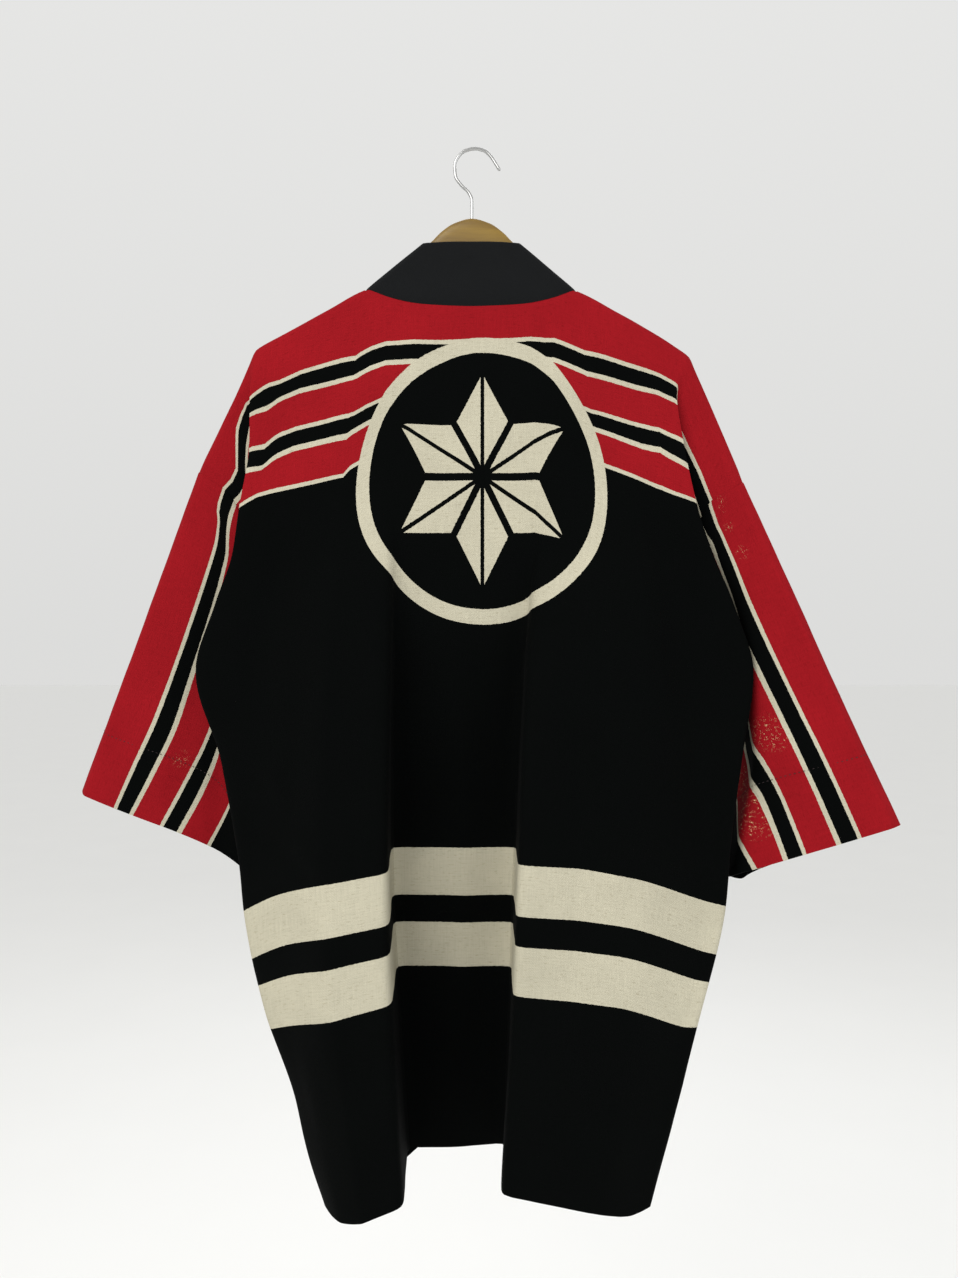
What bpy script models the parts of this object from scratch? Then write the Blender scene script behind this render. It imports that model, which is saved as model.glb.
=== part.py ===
# A short straight-cut cotton coat that hangs from a wooden hanger with a wire hook.
# The back of the coat faces -Y, its fronts face +Y, +X is to the right, +Z is up.
# The origin is the inside top of the hook, where the hook bears on what holds it.
# Sizes below are in millimetres; every mesh is made in metres.

import math

import bmesh
import bpy
import numpy as np
from mathutils import Vector

MM = 0.001

# Cut of the coat
BODY_LENGTH = 830.0
ARMHOLE_DEPTH = 295.0
SLEEVE_LENGTH = 337.0
COLLAR_WIDTH = 60.0

# Walls and seams
CLOTH_WALL = 2.0
COLLAR_WALL = 2.4
SEAM_GAP = 0.3
COLLAR_GAP = 1.5 * SEAM_GAP
SHOULDER_ROUND = 9.0

# Hanger and hook
WOOD_THICKNESS = 10.4
WOOD_EDGE_ROUND = 4.8
WOOD_EDGE_STEPS = 3
BORE_SIDES = 16
WIRE_RADIUS = 1.7
HOOK_BORE_RADIUS = WIRE_RADIUS + SEAM_GAP
HOOK_BORE_DEPTH = 14.0
HOOK_FOOT_X = -3.0
WOOD_CROWN_Z = -66.0

# Fold lines of the back. Each runs down the cloth; its columns are
# v (distance down the cloth from the shoulder fold), x, y, z.
CENTRE_LINE = [
    (25, -4, -9, -153),
    (120, 2, -12, -248),
    (185, 6, -14, -313),
    (300, 0, -14, -428),
    (420, -10, -10, -547),
    (560, -19, -7, -687),
    (700, -20, -5, -826),
    (830, -19, -3, -955),
]
LEFT_VALLEY = [
    (22, -56, -9, -150),
    (120, -62, -12, -246),
    (220, -68, -14, -348),
    (285, -74, -13, -413),
    (400, -80, -9, -530),
    (545, -80, -6, -672),
    (700, -73, -5, -826),
    (830, -65, -3, -955),
]
LEFT_CREST = [
    (14, -82, -9, -144),
    (120, -86, -13, -249),
    (220, -84, -18, -352),
    (285, -79, -30, -417),
    (400, -77, -64, -538),
    (545, -76, -90, -678),
    (700, -70, -95, -832),
    (830, -62, -94, -961),
]
LEFT_NECK = [
    (0, -105, 0, -135),
    (9, -106, -9, -144),
    (60, -113, -10, -196),
    (120, -120, -13, -262),
    (220, -128, -22, -366),
    (315, -133, -48, -462),
    (400, -136, -72, -550),
    (545, -134, -91, -688),
    (700, -116, -97, -846),
    (830, -98, -93, -976),
]
LEFT_HOLLOW = [
    (0, -160, 0, -165),
    (9, -161, -9, -174),
    (60, -166, -10, -226),
    (120, -172, -11, -286),
    (220, -180, -18, -388),
    (315, -188, -34, -487),
    (400, -189, -50, -573),
    (545, -178, -66, -702),
    (700, -148, -80, -856),
    (830, -119, -84, -981),
]
LEFT_EDGE = [
    (0, -209, 0, -192),
    (9, -210, -9, -202),
    (46, -214, -13, -242),
    (100, -214, -16, -287),
    (154, -222, -19, -342),
    (200, -228, -22, -387),
    (250, -243, -26, -435),
    (315, -260, -30, -498),
    (400, -235, -36, -582),
    (480, -220, -42, -660),
    (560, -208, -48, -736),
    (640, -190, -52, -810),
    (720, -164, -56, -882),
    (780, -150, -58, -936),
    (830, -135, -60, -978),
]
LEFT_TUCK = [
    (0, -230, 4, -236),
    (9, -224, -3, -238),
    (46, -206, -2, -270),
    (100, -194, -1, -322),
    (154, -192, 0, -380),
    (200, -190, -2, -432),
    (250, -192, -4, -480),
    (315, -198, -4, -537),
    (400, -203, -4, -612),
    (545, -174, -4, -742),
    (640, -148, -4, -820),
    (720, -122, -4, -884),
    (830, -82, -4, -980),
]
LEFT_SIDE = [
    (0, -268, 12, -307),
    (46, -240, 12, -326),
    (80, -225, 12, -352),
    (154, -208, 12, -424),
    (200, -206, 11, -468),
    (295, -212, 10, -552),
    (371, -222, 9, -618),
    (545, -190, 8, -762),
    (700, -145, 8, -888),
    (830, -98, 8, -1000),
]
RIGHT_VALLEY = [
    (22, 50, -9, -150),
    (120, 56, -12, -246),
    (220, 57, -14, -348),
    (300, 52, -13, -428),
    (400, 45, -10, -530),
    (545, 39, -6, -672),
    (700, 34, -5, -826),
    (830, 29, -3, -951),
]
RIGHT_CREST = [
    (14, 76, -9, -144),
    (120, 74, -13, -249),
    (220, 68, -17, -350),
    (300, 54, -27, -430),
    (400, 45, -68, -532),
    (470, 41, -90, -600),
    (545, 38, -106, -667),
    (700, 31, -110, -818),
    (830, 23, -108, -943),
]
RIGHT_NECK = [
    (0, 97, 0, -136),
    (9, 98, -9, -145),
    (60, 104, -10, -197),
    (120, 110, -13, -262),
    (220, 110, -22, -362),
    (315, 100, -48, -456),
    (400, 95, -70, -544),
    (545, 90, -91, -673),
    (700, 80, -98, -828),
    (830, 70, -98, -958),
]
RIGHT_SWELL = [
    (0, 150, 0, -164),
    (9, 151, -9, -173),
    (60, 156, -10, -225),
    (120, 158, -14, -286),
    (220, 156, -30, -384),
    (315, 152, -56, -478),
    (400, 148, -76, -564),
    (545, 143, -90, -682),
    (700, 128, -96, -836),
    (830, 108, -97, -966),
]
RIGHT_HOLLOW = [
    (0, 182, 0, -183),
    (9, 181, -9, -192),
    (60, 174, -11, -236),
    (154, 176, -17, -330),
    (250, 186, -28, -420),
    (315, 196, -38, -484),
    (400, 205, -50, -574),
    (545, 206, -66, -708),
    (700, 172, -78, -856),
    (830, 136, -86, -974),
]
RIGHT_EDGE = [
    (0, 205, 0, -199),
    (9, 201, -9, -208),
    (46, 191, -14, -236),
    (100, 197, -19, -282),
    (154, 208, -24, -342),
    (200, 221, -28, -386),
    (250, 240, -34, -436),
    (315, 256, -43, -497),
    (400, 243, -54, -574),
    (480, 231, -62, -652),
    (545, 224, -67, -712),
    (640, 201, -73, -800),
    (720, 181, -77, -874),
    (780, 166, -79, -928),
    (830, 155, -80, -968),
]
RIGHT_TUCK = [
    (0, 224, -8, -248),
    (9, 217, -10, -249),
    (46, 188, -3, -266),
    (100, 181, -2, -318),
    (154, 184, -2, -378),
    (200, 186, -3, -432),
    (250, 192, -4, -482),
    (315, 199, -6, -537),
    (400, 208, -6, -612),
    (545, 189, 0, -742),
    (640, 168, 3, -820),
    (720, 148, 4, -884),
    (830, 118, 4, -978),
]
RIGHT_SIDE = [
    (0, 251, -22, -322),
    (46, 222, -8, -340),
    (80, 211, 2, -368),
    (154, 202, 9, -434),
    (200, 202, 10, -478),
    (295, 212, 11, -562),
    (371, 224, 13, -622),
    (545, 205, 16, -760),
    (700, 170, 18, -885),
    (830, 134, 19, -996),
]

# Fold lines of the two front panels, with the same columns.
LEFT_FRONT_EDGE = [
    (0, -105, 0, -135),
    (9, -105, 8.5, -144),
    (60, -101, 9, -192),
    (150, -88, 9, -280),
    (300, -42, 10, -428),
    (450, 8, 11, -576),
    (600, 40, 12, -725),
    (830, 64, 12, -948),
]
LEFT_FRONT_INNER = [
    (0, -160, 0, -165),
    (9, -160, 8.5, -174),
    (100, -156, 10, -265),
    (250, -128, 14, -415),
    (400, -88, 14, -562),
    (600, -40, 10, -750),
    (830, 4, 15, -947),
]
LEFT_FRONT_OUTER = [
    (0, -209, 0, -192),
    (9, -209, 8.5, -202),
    (60, -208, 9, -262),
    (154, -186, 11, -360),
    (250, -178, 12, -470),
    (400, -170, 11, -600),
    (600, -128, 13, -780),
    (830, -46, 10, -953),
]
RIGHT_FRONT_EDGE = [
    (0, 97, 0, -136),
    (9, 97, 8.5, -145),
    (60, 94, 9, -192),
    (150, 82, 12, -280),
    (300, 40, 19, -428),
    (450, -8, 24, -576),
    (600, -40, 25, -725),
    (830, -62, 27, -946),
]
RIGHT_FRONT_INNER = [
    (0, 150, 0, -164),
    (9, 150, 8.5, -173),
    (100, 146, 11, -263),
    (250, 124, 18, -413),
    (400, 86, 22, -562),
    (600, 46, 23, -756),
    (830, 6, 28, -950),
]
RIGHT_FRONT_OUTER = [
    (0, 205, 0, -199),
    (9, 203, 8.5, -209),
    (60, 192, 9, -262),
    (154, 180, 11, -370),
    (250, 176, 15, -470),
    (400, 166, 18, -600),
    (600, 140, 23, -780),
    (830, 72, 24, -966),
]

# Lines along each sleeve, from the armhole to the cuff: the top fold, where the body hides
# the sleeve, the hidden stretch and the under fold. The columns are
# along (distance from the armhole), x, y, z.
LEFT_SLEEVE_TOP = [
    (0, -268, 12, -307),
    (120, -311, 20, -418),
    (230, -351, 27, -521),
    (337, -390, 34, -620),
]
LEFT_SLEEVE_SHOWN = [
    (0, -225, 12, -352),
    (120, -248, 18, -446),
    (230, -256, 27, -563),
    (337, -232, 35, -694),
]
LEFT_SLEEVE_HIDDEN = [
    (0, -207, 11, -440),
    (60, -230, 17, -474),
    (120, -242, 21, -500),
    (230, -246, 30, -597),
    (337, -211, 38, -727),
]
LEFT_SLEEVE_UNDER = [
    (0, -212, 10, -552),
    (40, -222, 18, -551),
    (120, -236, 25, -556),
    (230, -236, 33, -632),
    (337, -190, 42, -760),
]
RIGHT_SLEEVE_TOP = [
    (0, 251, -22, -322),
    (120, 294, -44, -432),
    (230, 332, -66, -533),
    (337, 370, -90, -631),
]
RIGHT_SLEEVE_SHOWN = [
    (0, 211, 2, -368),
    (60, 237, -12, -398),
    (120, 256, -21, -453),
    (230, 263, -32, -562),
    (337, 241, -43, -687),
]
RIGHT_SLEEVE_HIDDEN = [
    (0, 202, 10, -455),
    (60, 231, 12, -477),
    (120, 254, 18, -507),
    (230, 259, 26, -600),
    (337, 235, 30, -702),
]
RIGHT_SLEEVE_UNDER = [
    (0, 212, 11, -562),
    (40, 226, 20, -560),
    (120, 244, 26, -564),
    (230, 237, 34, -632),
    (337, 182, 44, -750),
]

LEFT_SLEEVE_LINES = [LEFT_SLEEVE_TOP, LEFT_SLEEVE_SHOWN, LEFT_SLEEVE_HIDDEN, LEFT_SLEEVE_UNDER]
RIGHT_SLEEVE_LINES = [RIGHT_SLEEVE_TOP, RIGHT_SLEEVE_SHOWN, RIGHT_SLEEVE_HIDDEN, RIGHT_SLEEVE_UNDER]

# Rows along a sleeve, steps round it, and how far from the armhole it leaves the body's side line
SLEEVE_ROWS = [0, 18, 45, 80, 120, 165, 215, 275, 337]
SLEEVE_STEPS = [0, 3, 6, 9, 30, 55, 85, 120, 160, 200, 250, 295]
ARMHOLE_BLEND = 20.0

# Half the gap between the two layers at the armhole, under the arm and at the cuff.
ARMHOLE_HALF_GAP = 6.0
UNDERARM_HALF_GAP = 2.5
CUFF_HALF_GAP = 10.0

# Rows between which the armhole closes under the arm, and then the side closes below it
UNDERARM_CLOSES = (70.0, 190.0)
SIDE_CLOSES = (ARMHOLE_DEPTH, 380.0)

# Free edge of the collar round the neck, from the left shoulder to the right. The columns are
# x, y, z. The first and last rows only give the edge its direction there.
COLLAR_TOP_EDGE = [
    (-60, 0, -100), (-50, 0, -92), (-49, -9, -92.5), (-40, -9, -92), (-33, -9, -91.5), (-21, -9, -91),
    (-4, -9, -91), (15, -9, -91), (27, -9, -91.5), (33, -9, -92), (42, -9, -92.5), (43, 0, -92),
    (53, 0, -100),
]

# How far the collar's free edge stands from its seam on a front.
# The columns are v, x, y, z, for the left front; the right front mirrors x.
COLLAR_SPAN = [
    (0, 55, 0, 43),
    (9, 54, 0.5, 42),
    (60, 57, 1, 22),
    (150, COLLAR_WIDTH, 1.5, 8),
    (300, COLLAR_WIDTH, 1.5, 4),
    (830, COLLAR_WIDTH, 1.5, 2),
]

# Outline of the wooden hanger. The columns are x, z.
WOOD_TOP = [
    (-202, -190.3), (-160, -167), (-105, -137.4), (-77, -117), (-54, -98), (-42, -88.5),
    (-32, -78.5), (-20, -70.5), (-3, WOOD_CROWN_Z), (14, -70.5), (26, -78.5), (36, -88.5), (47, -98.6),
    (72, -119.6), (97, -138.6), (150, -166.4), (182, -185.8), (198, -197),
]
WOOD_BOTTOM = [
    (194, -216), (150, -194), (97, -168), (60, -150), (20, -136), (-3, -133), (-26, -136),
    (-66, -150), (-105, -167), (-160, -195), (-198, -212),
]

# Centre line of the hook's wire. The columns are x, z.
HOOK_LINE = [
    (HOOK_FOOT_X, WOOD_CROWN_Z - HOOK_BORE_DEPTH + SEAM_GAP), (HOOK_FOOT_X, -62), (HOOK_FOOT_X, -48),
    (-6, -40.5), (-13, -33.5), (-18.5, -25), (-19.5, -15), (-16, -6), (-9, -0.2), (0, WIRE_RADIUS),
    (9, -0.4), (15.5, -6.2), (20, -13), (24, -19.5),
]
HOOK_POINTS = 36
WIRE_SIDES = 10

# Rows down the back and fronts, as distances from the shoulder fold.
BODY_ROWS = [
    0, 3, 6, 9, 30, 55, 85, 120, 160, 200, 250, 295, 335, 380, 430, 490, 550, 610, 670, 730, 785, 830,
]

# From here down the fold behind the edge lies straight behind it.
SETTLED = 150.0

# How far each fold's corner is rounded along the cloth.
CORNERS = {
    "side": 0, "tuck": 14, "edge_behind": 4, "edge": 4, "hollow": 24, "swell": 20,
    "neck": 16, "neck_turn": 7, "neck_back": 8, "crest": 10, "valley": 9, "centre": 28,
}
LEFT_SIDE_FOLDS = ["side", "tuck", "edge_behind", "edge", "hollow"]
RIGHT_SIDE_FOLDS = ["side", "tuck", "edge_behind", "edge", "hollow", "swell"]
NECK_FOLDS = ["neck", "neck_turn", "neck_back", "crest", "valley"]
LEFT_LINES = {"side": LEFT_SIDE, "tuck": LEFT_TUCK, "edge": LEFT_EDGE, "hollow": LEFT_HOLLOW,
              "neck": LEFT_NECK, "crest": LEFT_CREST, "valley": LEFT_VALLEY}
RIGHT_LINES = {"side": RIGHT_SIDE, "tuck": RIGHT_TUCK, "edge": RIGHT_EDGE, "hollow": RIGHT_HOLLOW,
               "swell": RIGHT_SWELL, "neck": RIGHT_NECK, "crest": RIGHT_CREST, "valley": RIGHT_VALLEY}
EDGE_FOLD = 8.0
EDGE_FOLD_DROP = 2.0
EDGE_FOLD_START = 0.25
NECK_CORNER = 0.6

# Places of two folds between the neck line and the crest, as shares of the way
NECK_SHARES = {"neck_turn": 0.15, "neck_back": 0.5}

# Folds of a front between its side and its outer line, as shares of the way
FRONT_SHARES = {"tuck": 0.35, "edge_behind": 0.7}
FRONT_CORNER = 14
FRONT_HOLLOW_CORNER = 30

# The fronts leave the shoulder line's shape between these rows.
FRONT_LEAVES = (SHOULDER_ROUND, 92.0)

# No corner is rounded over more than this share of the stretch beside it.
LARGEST_TRIM = 0.45

# Weights of a corner's middle point: its ends, then the corner itself
CORNER_ENDS = 0.25
CORNER_MIDDLE = 0.5

# Faces that meet at more than this many degrees show an edge.
SHARP_ANGLE = 40

COLOURS = {
    "black_cotton": (0.035, 0.05, 0.047, 1.0),
    "collar_cotton": (0.114, 0.122, 0.118, 1.0),
    "pale_wood": (0.72, 0.5, 0.26, 1.0),
    "bright_wire": (0.75, 0.75, 0.74, 1.0),
}
ROUGHNESS = {"black_cotton": 0.8, "collar_cotton": 0.8, "pale_wood": 0.8, "bright_wire": 0.25}
METALLIC = {"black_cotton": 0.0, "collar_cotton": 0.0, "pale_wood": 0.0, "bright_wire": 1.0}


# Lines through a few rows

def limited_slopes(places, values):
    """Slopes at each row that keep the curve between its neighbours."""
    steps = np.diff(values) / np.diff(places)
    slopes = np.zeros(len(values))
    slopes[0] = steps[0]
    slopes[-1] = steps[-1]
    for i in range(1, len(values) - 1):
        if steps[i - 1] * steps[i] > 0:
            slopes[i] = 2 * steps[i - 1] * steps[i] / (steps[i - 1] + steps[i])
    return slopes


def read_line(rows, place):
    """Point (x, y, z) of a line at a distance along it, on a smooth curve."""
    table = np.array(rows, dtype=float)
    places = table[:, 0]
    place = min(max(place, places[0]), places[-1])
    k = min(int(np.searchsorted(places, place, side="right")) - 1, len(places) - 2)
    span = places[k + 1] - places[k]
    t = (place - places[k]) / span
    start = (1 + 2 * t) * (1 - t) ** 2
    end = t * t * (3 - 2 * t)
    leave = t * (1 - t) ** 2 * span
    arrive = t * t * (t - 1) * span
    point = []
    for column in range(1, 4):
        values = table[:, column]
        slopes = limited_slopes(places, values)
        point.append(start * values[k] + end * values[k + 1] + leave * slopes[k] + arrive * slopes[k + 1])
    return np.array(point)


def ease(value, low, high):
    """0 below low, 1 above high, and a soft step between."""
    t = min(max((value - low) / (high - low), 0.0), 1.0)
    return t * t * (3 - 2 * t)


def over_shoulder(ridge, below, v):
    """Point between the top row and the row below the shoulder's round, on its quarter turn."""
    reached = min(max(ridge[1] / below[1], 0.0), 0.99) if ridge[1] * below[1] > 0 else 0.0
    first = math.asin(reached)
    turn = first + (0.5 * math.pi - first) * v / SHOULDER_ROUND
    drop = 1 - math.cos(turn) / math.cos(first)
    side = (math.sin(turn) - reached) / (1 - reached)
    return ridge + (below - ridge) * np.array([drop, side, drop])


def rounded_run(points, corners):
    """Run through the points, each corner rounded with a short curve of three points."""
    run = [points[0]]
    for i in range(1, len(points) - 1):
        before = points[i - 1] - points[i]
        after = points[i + 1] - points[i]
        room = LARGEST_TRIM * min(np.linalg.norm(before), np.linalg.norm(after))
        trim = min(corners[i], room)
        enter = points[i] + before / np.linalg.norm(before) * trim
        leave = points[i] + after / np.linalg.norm(after) * trim
        run += [enter, CORNER_ENDS * (enter + leave) + CORNER_MIDDLE * points[i], leave]
    run.append(points[-1])
    return run


# Walls

def grid_ways(grid, axis):
    """Directions along one axis of a grid, halfway between the steps that meet at each point."""
    steps = np.diff(grid, axis=axis)
    steps /= np.linalg.norm(steps, axis=2, keepdims=True)
    first = steps.take([0], axis=axis)
    last = steps.take([-1], axis=axis)
    return np.concatenate([first, steps], axis=axis) + np.concatenate([steps, last], axis=axis)


def grid_normals(grid):
    """Unit normals of a grid of points."""
    normals = np.cross(grid_ways(grid, 0), grid_ways(grid, 1))
    return normals / np.linalg.norm(normals, axis=2, keepdims=True)


def square_off(normals, directions):
    """Take the part along each direction out of the normals at an edge."""
    directions = directions / np.linalg.norm(directions, axis=-1, keepdims=True)
    flat = normals - directions * np.sum(normals * directions, axis=-1, keepdims=True)
    return flat / np.linalg.norm(flat, axis=-1, keepdims=True)


def add_quads(mesh, corners, rows, columns, closed):
    """Faces over a grid of vertices."""
    for r in range(rows - 1):
        for c in range(columns if closed else columns - 1):
            d = (c + 1) % columns
            mesh.faces.new([corners[r][c], corners[r][d], corners[r + 1][d], corners[r + 1][c]])


def wall_mesh(grid, normals, wall, closed=False):
    """A closed wall of cloth about a grid of points; closed joins its side columns."""
    rows, columns = grid.shape[:2]
    mesh = bmesh.new()
    sides = []
    for sign in (0.5, -0.5):
        points = (grid + normals * wall * sign) * MM
        sides.append([[mesh.verts.new(points[r][c]) for c in range(columns)] for r in range(rows)])
        add_quads(mesh, sides[-1], rows, columns, closed)
    if closed:
        rims = [[(r, c % columns) for c in range(columns + 1)] for r in (0, rows - 1)]
    else:
        top = [(0, c) for c in range(columns)]
        right = [(r, columns - 1) for r in range(1, rows)]
        bottom = [(rows - 1, c) for c in range(columns - 2, -1, -1)]
        left = [(r, 0) for r in range(rows - 2, -1, -1)]
        rims = [top + right + bottom + left]
    for rim in rims:
        for (r0, c0), (r1, c1) in zip(rim, rim[1:]):
            mesh.faces.new([sides[0][r1][c1], sides[0][r0][c0], sides[1][r0][c0], sides[1][r1][c1]])
    bmesh.ops.recalc_face_normals(mesh, faces=mesh.faces)
    bmesh.ops.triangulate(mesh, faces=mesh.faces)
    return mesh


def material(name):
    """Plain material of a sub-part."""
    made = bpy.data.materials.get(name) or bpy.data.materials.new(name)
    made.use_nodes = True
    shader = made.node_tree.nodes["Principled BSDF"]
    shader.inputs["Base Color"].default_value = COLOURS[name]
    shader.inputs["Roughness"].default_value = ROUGHNESS[name]
    shader.inputs["Metallic"].default_value = METALLIC[name]
    return made


def add_object(name, mesh, material_name):
    """Turn a bmesh into a named object of the scene."""
    data = bpy.data.meshes.new(name)
    mesh.to_mesh(data)
    mesh.free()
    data.shade_smooth()
    data.set_sharp_from_angle(angle=math.radians(SHARP_ANGLE))
    made = bpy.data.objects.new(name, data)
    made.data.materials.append(material(material_name))
    bpy.context.collection.objects.link(made)
    return made


# Armhole and side seam, shared by back, fronts and sleeves

def armhole_half_gap(v):
    """Half the distance between the back and front layers where they meet a sleeve."""
    opened = ARMHOLE_HALF_GAP * math.sin(0.5 * math.pi * min(v / SHOULDER_ROUND, 1.0))
    closing = ease(v, *UNDERARM_CLOSES)
    return opened + (UNDERARM_HALF_GAP - opened) * closing


def seam_half_gap(v):
    """Half the distance between the body's layers down the whole side."""
    joined = (CLOTH_WALL + SEAM_GAP) / 2
    return armhole_half_gap(v) + (joined - UNDERARM_HALF_GAP) * ease(v, *SIDE_CLOSES)


def seam_directions(points):
    """Directions across a seam line, in the X-Z plane."""
    along = np.gradient(points, axis=0)
    along[:, 1] = 0
    return np.cross(along, np.array([0.0, 1.0, 0.0]))


# Back

def side_point(lines, v, way):
    """Edge of the back (way -1) or of a front (way 1) at its side."""
    return read_line(lines["side"], v) + np.array([0.0, way * seam_half_gap(v), 0.0])


def fold_point(lines, name, v):
    """Point of one of the back's folds, v below the shoulder fold or the neck's edge."""
    settled = min(v / SETTLED, 1.0)
    if name == "side":
        return side_point(lines, v, -1)
    if name == "edge_behind":
        edge = read_line(lines["edge"], v)
        start = edge + EDGE_FOLD_START * (read_line(lines["tuck"], v) - edge)
        turned = edge + np.array([0.0, EDGE_FOLD, -EDGE_FOLD_DROP])
        return start + (turned - start) * settled
    if name in NECK_SHARES:
        neck = read_line(lines["neck"], v)
        crest = fold_point(lines, "crest", v)
        point = neck + (crest - neck) * NECK_SHARES[name]
        if v == 0:
            point[1] = -SHOULDER_ROUND
        return point
    line = lines[name]
    start = line[0][0]
    return read_line(line, start + (BODY_LENGTH - start) * v / BODY_LENGTH)


def back_folds():
    """Fold names and their lines, from the left side to the right side."""
    left = [(name, LEFT_LINES) for name in LEFT_SIDE_FOLDS + NECK_FOLDS]
    right = [(name, RIGHT_LINES) for name in RIGHT_SIDE_FOLDS + NECK_FOLDS]
    return left + [("centre", {"centre": CENTRE_LINE})] + right[::-1]


def back_row(v):
    """One row of the back, from side to side."""
    if 0 < v < SHOULDER_ROUND:
        ends = zip(back_row(0), back_row(SHOULDER_ROUND))
        return [over_shoulder(ridge, below, v) for ridge, below in ends]
    folds = back_folds()
    points = [fold_point(lines, name, v) for name, lines in folds]
    corners = [NECK_CORNER if name == "neck" and v == 0 else CORNERS[name] for name, lines in folds]
    return rounded_run(points, corners)


def neck_columns():
    """Columns of the back's row that lie at the two ends of the neck's edge."""
    left = 3 * len(LEFT_SIDE_FOLDS) - 1
    right = 3 * (len(back_folds()) - len(RIGHT_SIDE_FOLDS)) - 4
    return left, right


def neck_rungs():
    """Seam and free points of the collar band along the neck's edge."""
    first, last = neck_columns()
    seam = back_row(0)[first:last + 1]
    free = [np.array(point, dtype=float) for point in COLLAR_TOP_EDGE]
    names = ["side"] + NECK_FOLDS + ["centre"] + NECK_FOLDS[::-1] + ["side"]
    corners = [NECK_CORNER if name == "neck" else CORNERS[name] for name in names]
    top = rounded_run(free, corners)[2:-2]
    return list(zip(seam, top))


def make_back():
    """The back: one wide panel from neck and shoulders to the hem."""
    grid = np.array([back_row(v) for v in BODY_ROWS])
    first, last = neck_columns()
    normals = grid_normals(grid)
    rungs = neck_rungs()
    across = np.array([free - seam for seam, free in rungs])
    normals[0, first:last + 1] = square_off(normals[0, first:last + 1], across)
    for columns in (slice(0, first + 1), slice(last, None)):
        grid[0, columns, 1] -= SEAM_GAP / 2
        normals[0, columns] = square_off(normals[0, columns], np.array([[0.0, 1.0, 0.0]]))
    for column in (0, -1):
        normals[:, column] = square_off(normals[:, column], seam_directions(grid[:, column]))
    add_object("back", wall_mesh(grid, normals, CLOTH_WALL), "black_cotton")


# Fronts

def front_row(lines, fronts, names, ridge, v):
    """One row of a front, from its side to the edge that the collar band closes."""
    side = side_point(lines, v, 1)
    outer, inner, edge = [read_line(line, v) for line in fronts]
    places = {"side": side, "edge": outer, "hollow": inner, "swell": 0.5 * (inner + edge)}
    for name, share in FRONT_SHARES.items():
        places[name] = side + share * (outer - side)
    points = [places[name] for name in names] + [edge]
    corners = [FRONT_HOLLOW_CORNER if name == "hollow" else FRONT_CORNER for name in names] + [0]
    hanging = rounded_run(points, corners)
    row = []
    corner = ridge[3 * names.index("edge") - 1]
    slope = ridge[0] - corner
    for i in range(len(ridge)):
        share = max((ridge[i] - corner) @ slope, 0.0) / (slope @ slope)
        straight = np.array([0.0, SHOULDER_ROUND, -v]) * (1 - share)
        under = ridge[i] + straight + (side - ridge[0]) * share
        row.append(under + (hanging[i] - under) * ease(v, *FRONT_LEAVES))
    row[-1] = edge
    return row


def make_front(name, lines, fronts, names, ridge, turn):
    """One front panel, on the back's own shoulder line."""
    below = front_row(lines, fronts, names, ridge, SHOULDER_ROUND)
    rows = []
    for v in BODY_ROWS:
        if v < SHOULDER_ROUND:
            rows.append([over_shoulder(top, under, v) for top, under in zip(ridge, below)])
        else:
            rows.append(front_row(lines, fronts, names, ridge, v))
    grid = np.array(rows)
    grid[0, :, 1] += SEAM_GAP / 2
    normals = grid_normals(grid)
    normals[0] = square_off(normals[0], np.array([[0.0, 1.0, 0.0]]))
    normals[:, 0] = square_off(normals[:, 0], seam_directions(grid[:, 0]))
    normals[:, -1] = square_off(normals[:, -1], np.array([collar_span(v, turn) for v in BODY_ROWS]))
    add_object(name, wall_mesh(grid, normals, CLOTH_WALL), "black_cotton")


def make_fronts():
    """Both fronts, each from the shoulder points that it shares with the back."""
    row = back_row(0)
    left_count = 3 * len(LEFT_SIDE_FOLDS) - 2
    right_count = 3 * len(RIGHT_SIDE_FOLDS) - 2
    left_ridge = row[:left_count] + [read_line(LEFT_NECK, 0)]
    right_ridge = row[::-1][:right_count] + [read_line(RIGHT_NECK, 0)]
    make_front("front_left", LEFT_LINES, [LEFT_FRONT_OUTER, LEFT_FRONT_INNER, LEFT_FRONT_EDGE],
               LEFT_SIDE_FOLDS, left_ridge, 1)
    make_front("front_right", RIGHT_LINES, [RIGHT_FRONT_OUTER, RIGHT_FRONT_INNER, RIGHT_FRONT_EDGE],
               RIGHT_SIDE_FOLDS, right_ridge, -1)


# Sleeves

def sleeve_middle(lines, side, along):
    """Points halfway between a sleeve's two layers, from its top fold to its under fold."""
    stations = [read_line(line, along) for line in lines]
    lengths = [0.0]
    for start, end in zip(stations, stations[1:]):
        lengths.append(lengths[-1] + np.linalg.norm(end - start))
    run = [(place, *point) for place, point in zip(lengths, stations)]
    seated = 1 - ease(along, 0, ARMHOLE_BLEND)
    middle = []
    for v in SLEEVE_STEPS:
        free = read_line(run, v / ARMHOLE_DEPTH * lengths[-1])
        middle.append(free + (read_line(side, v) - free) * seated)
    return middle


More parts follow.
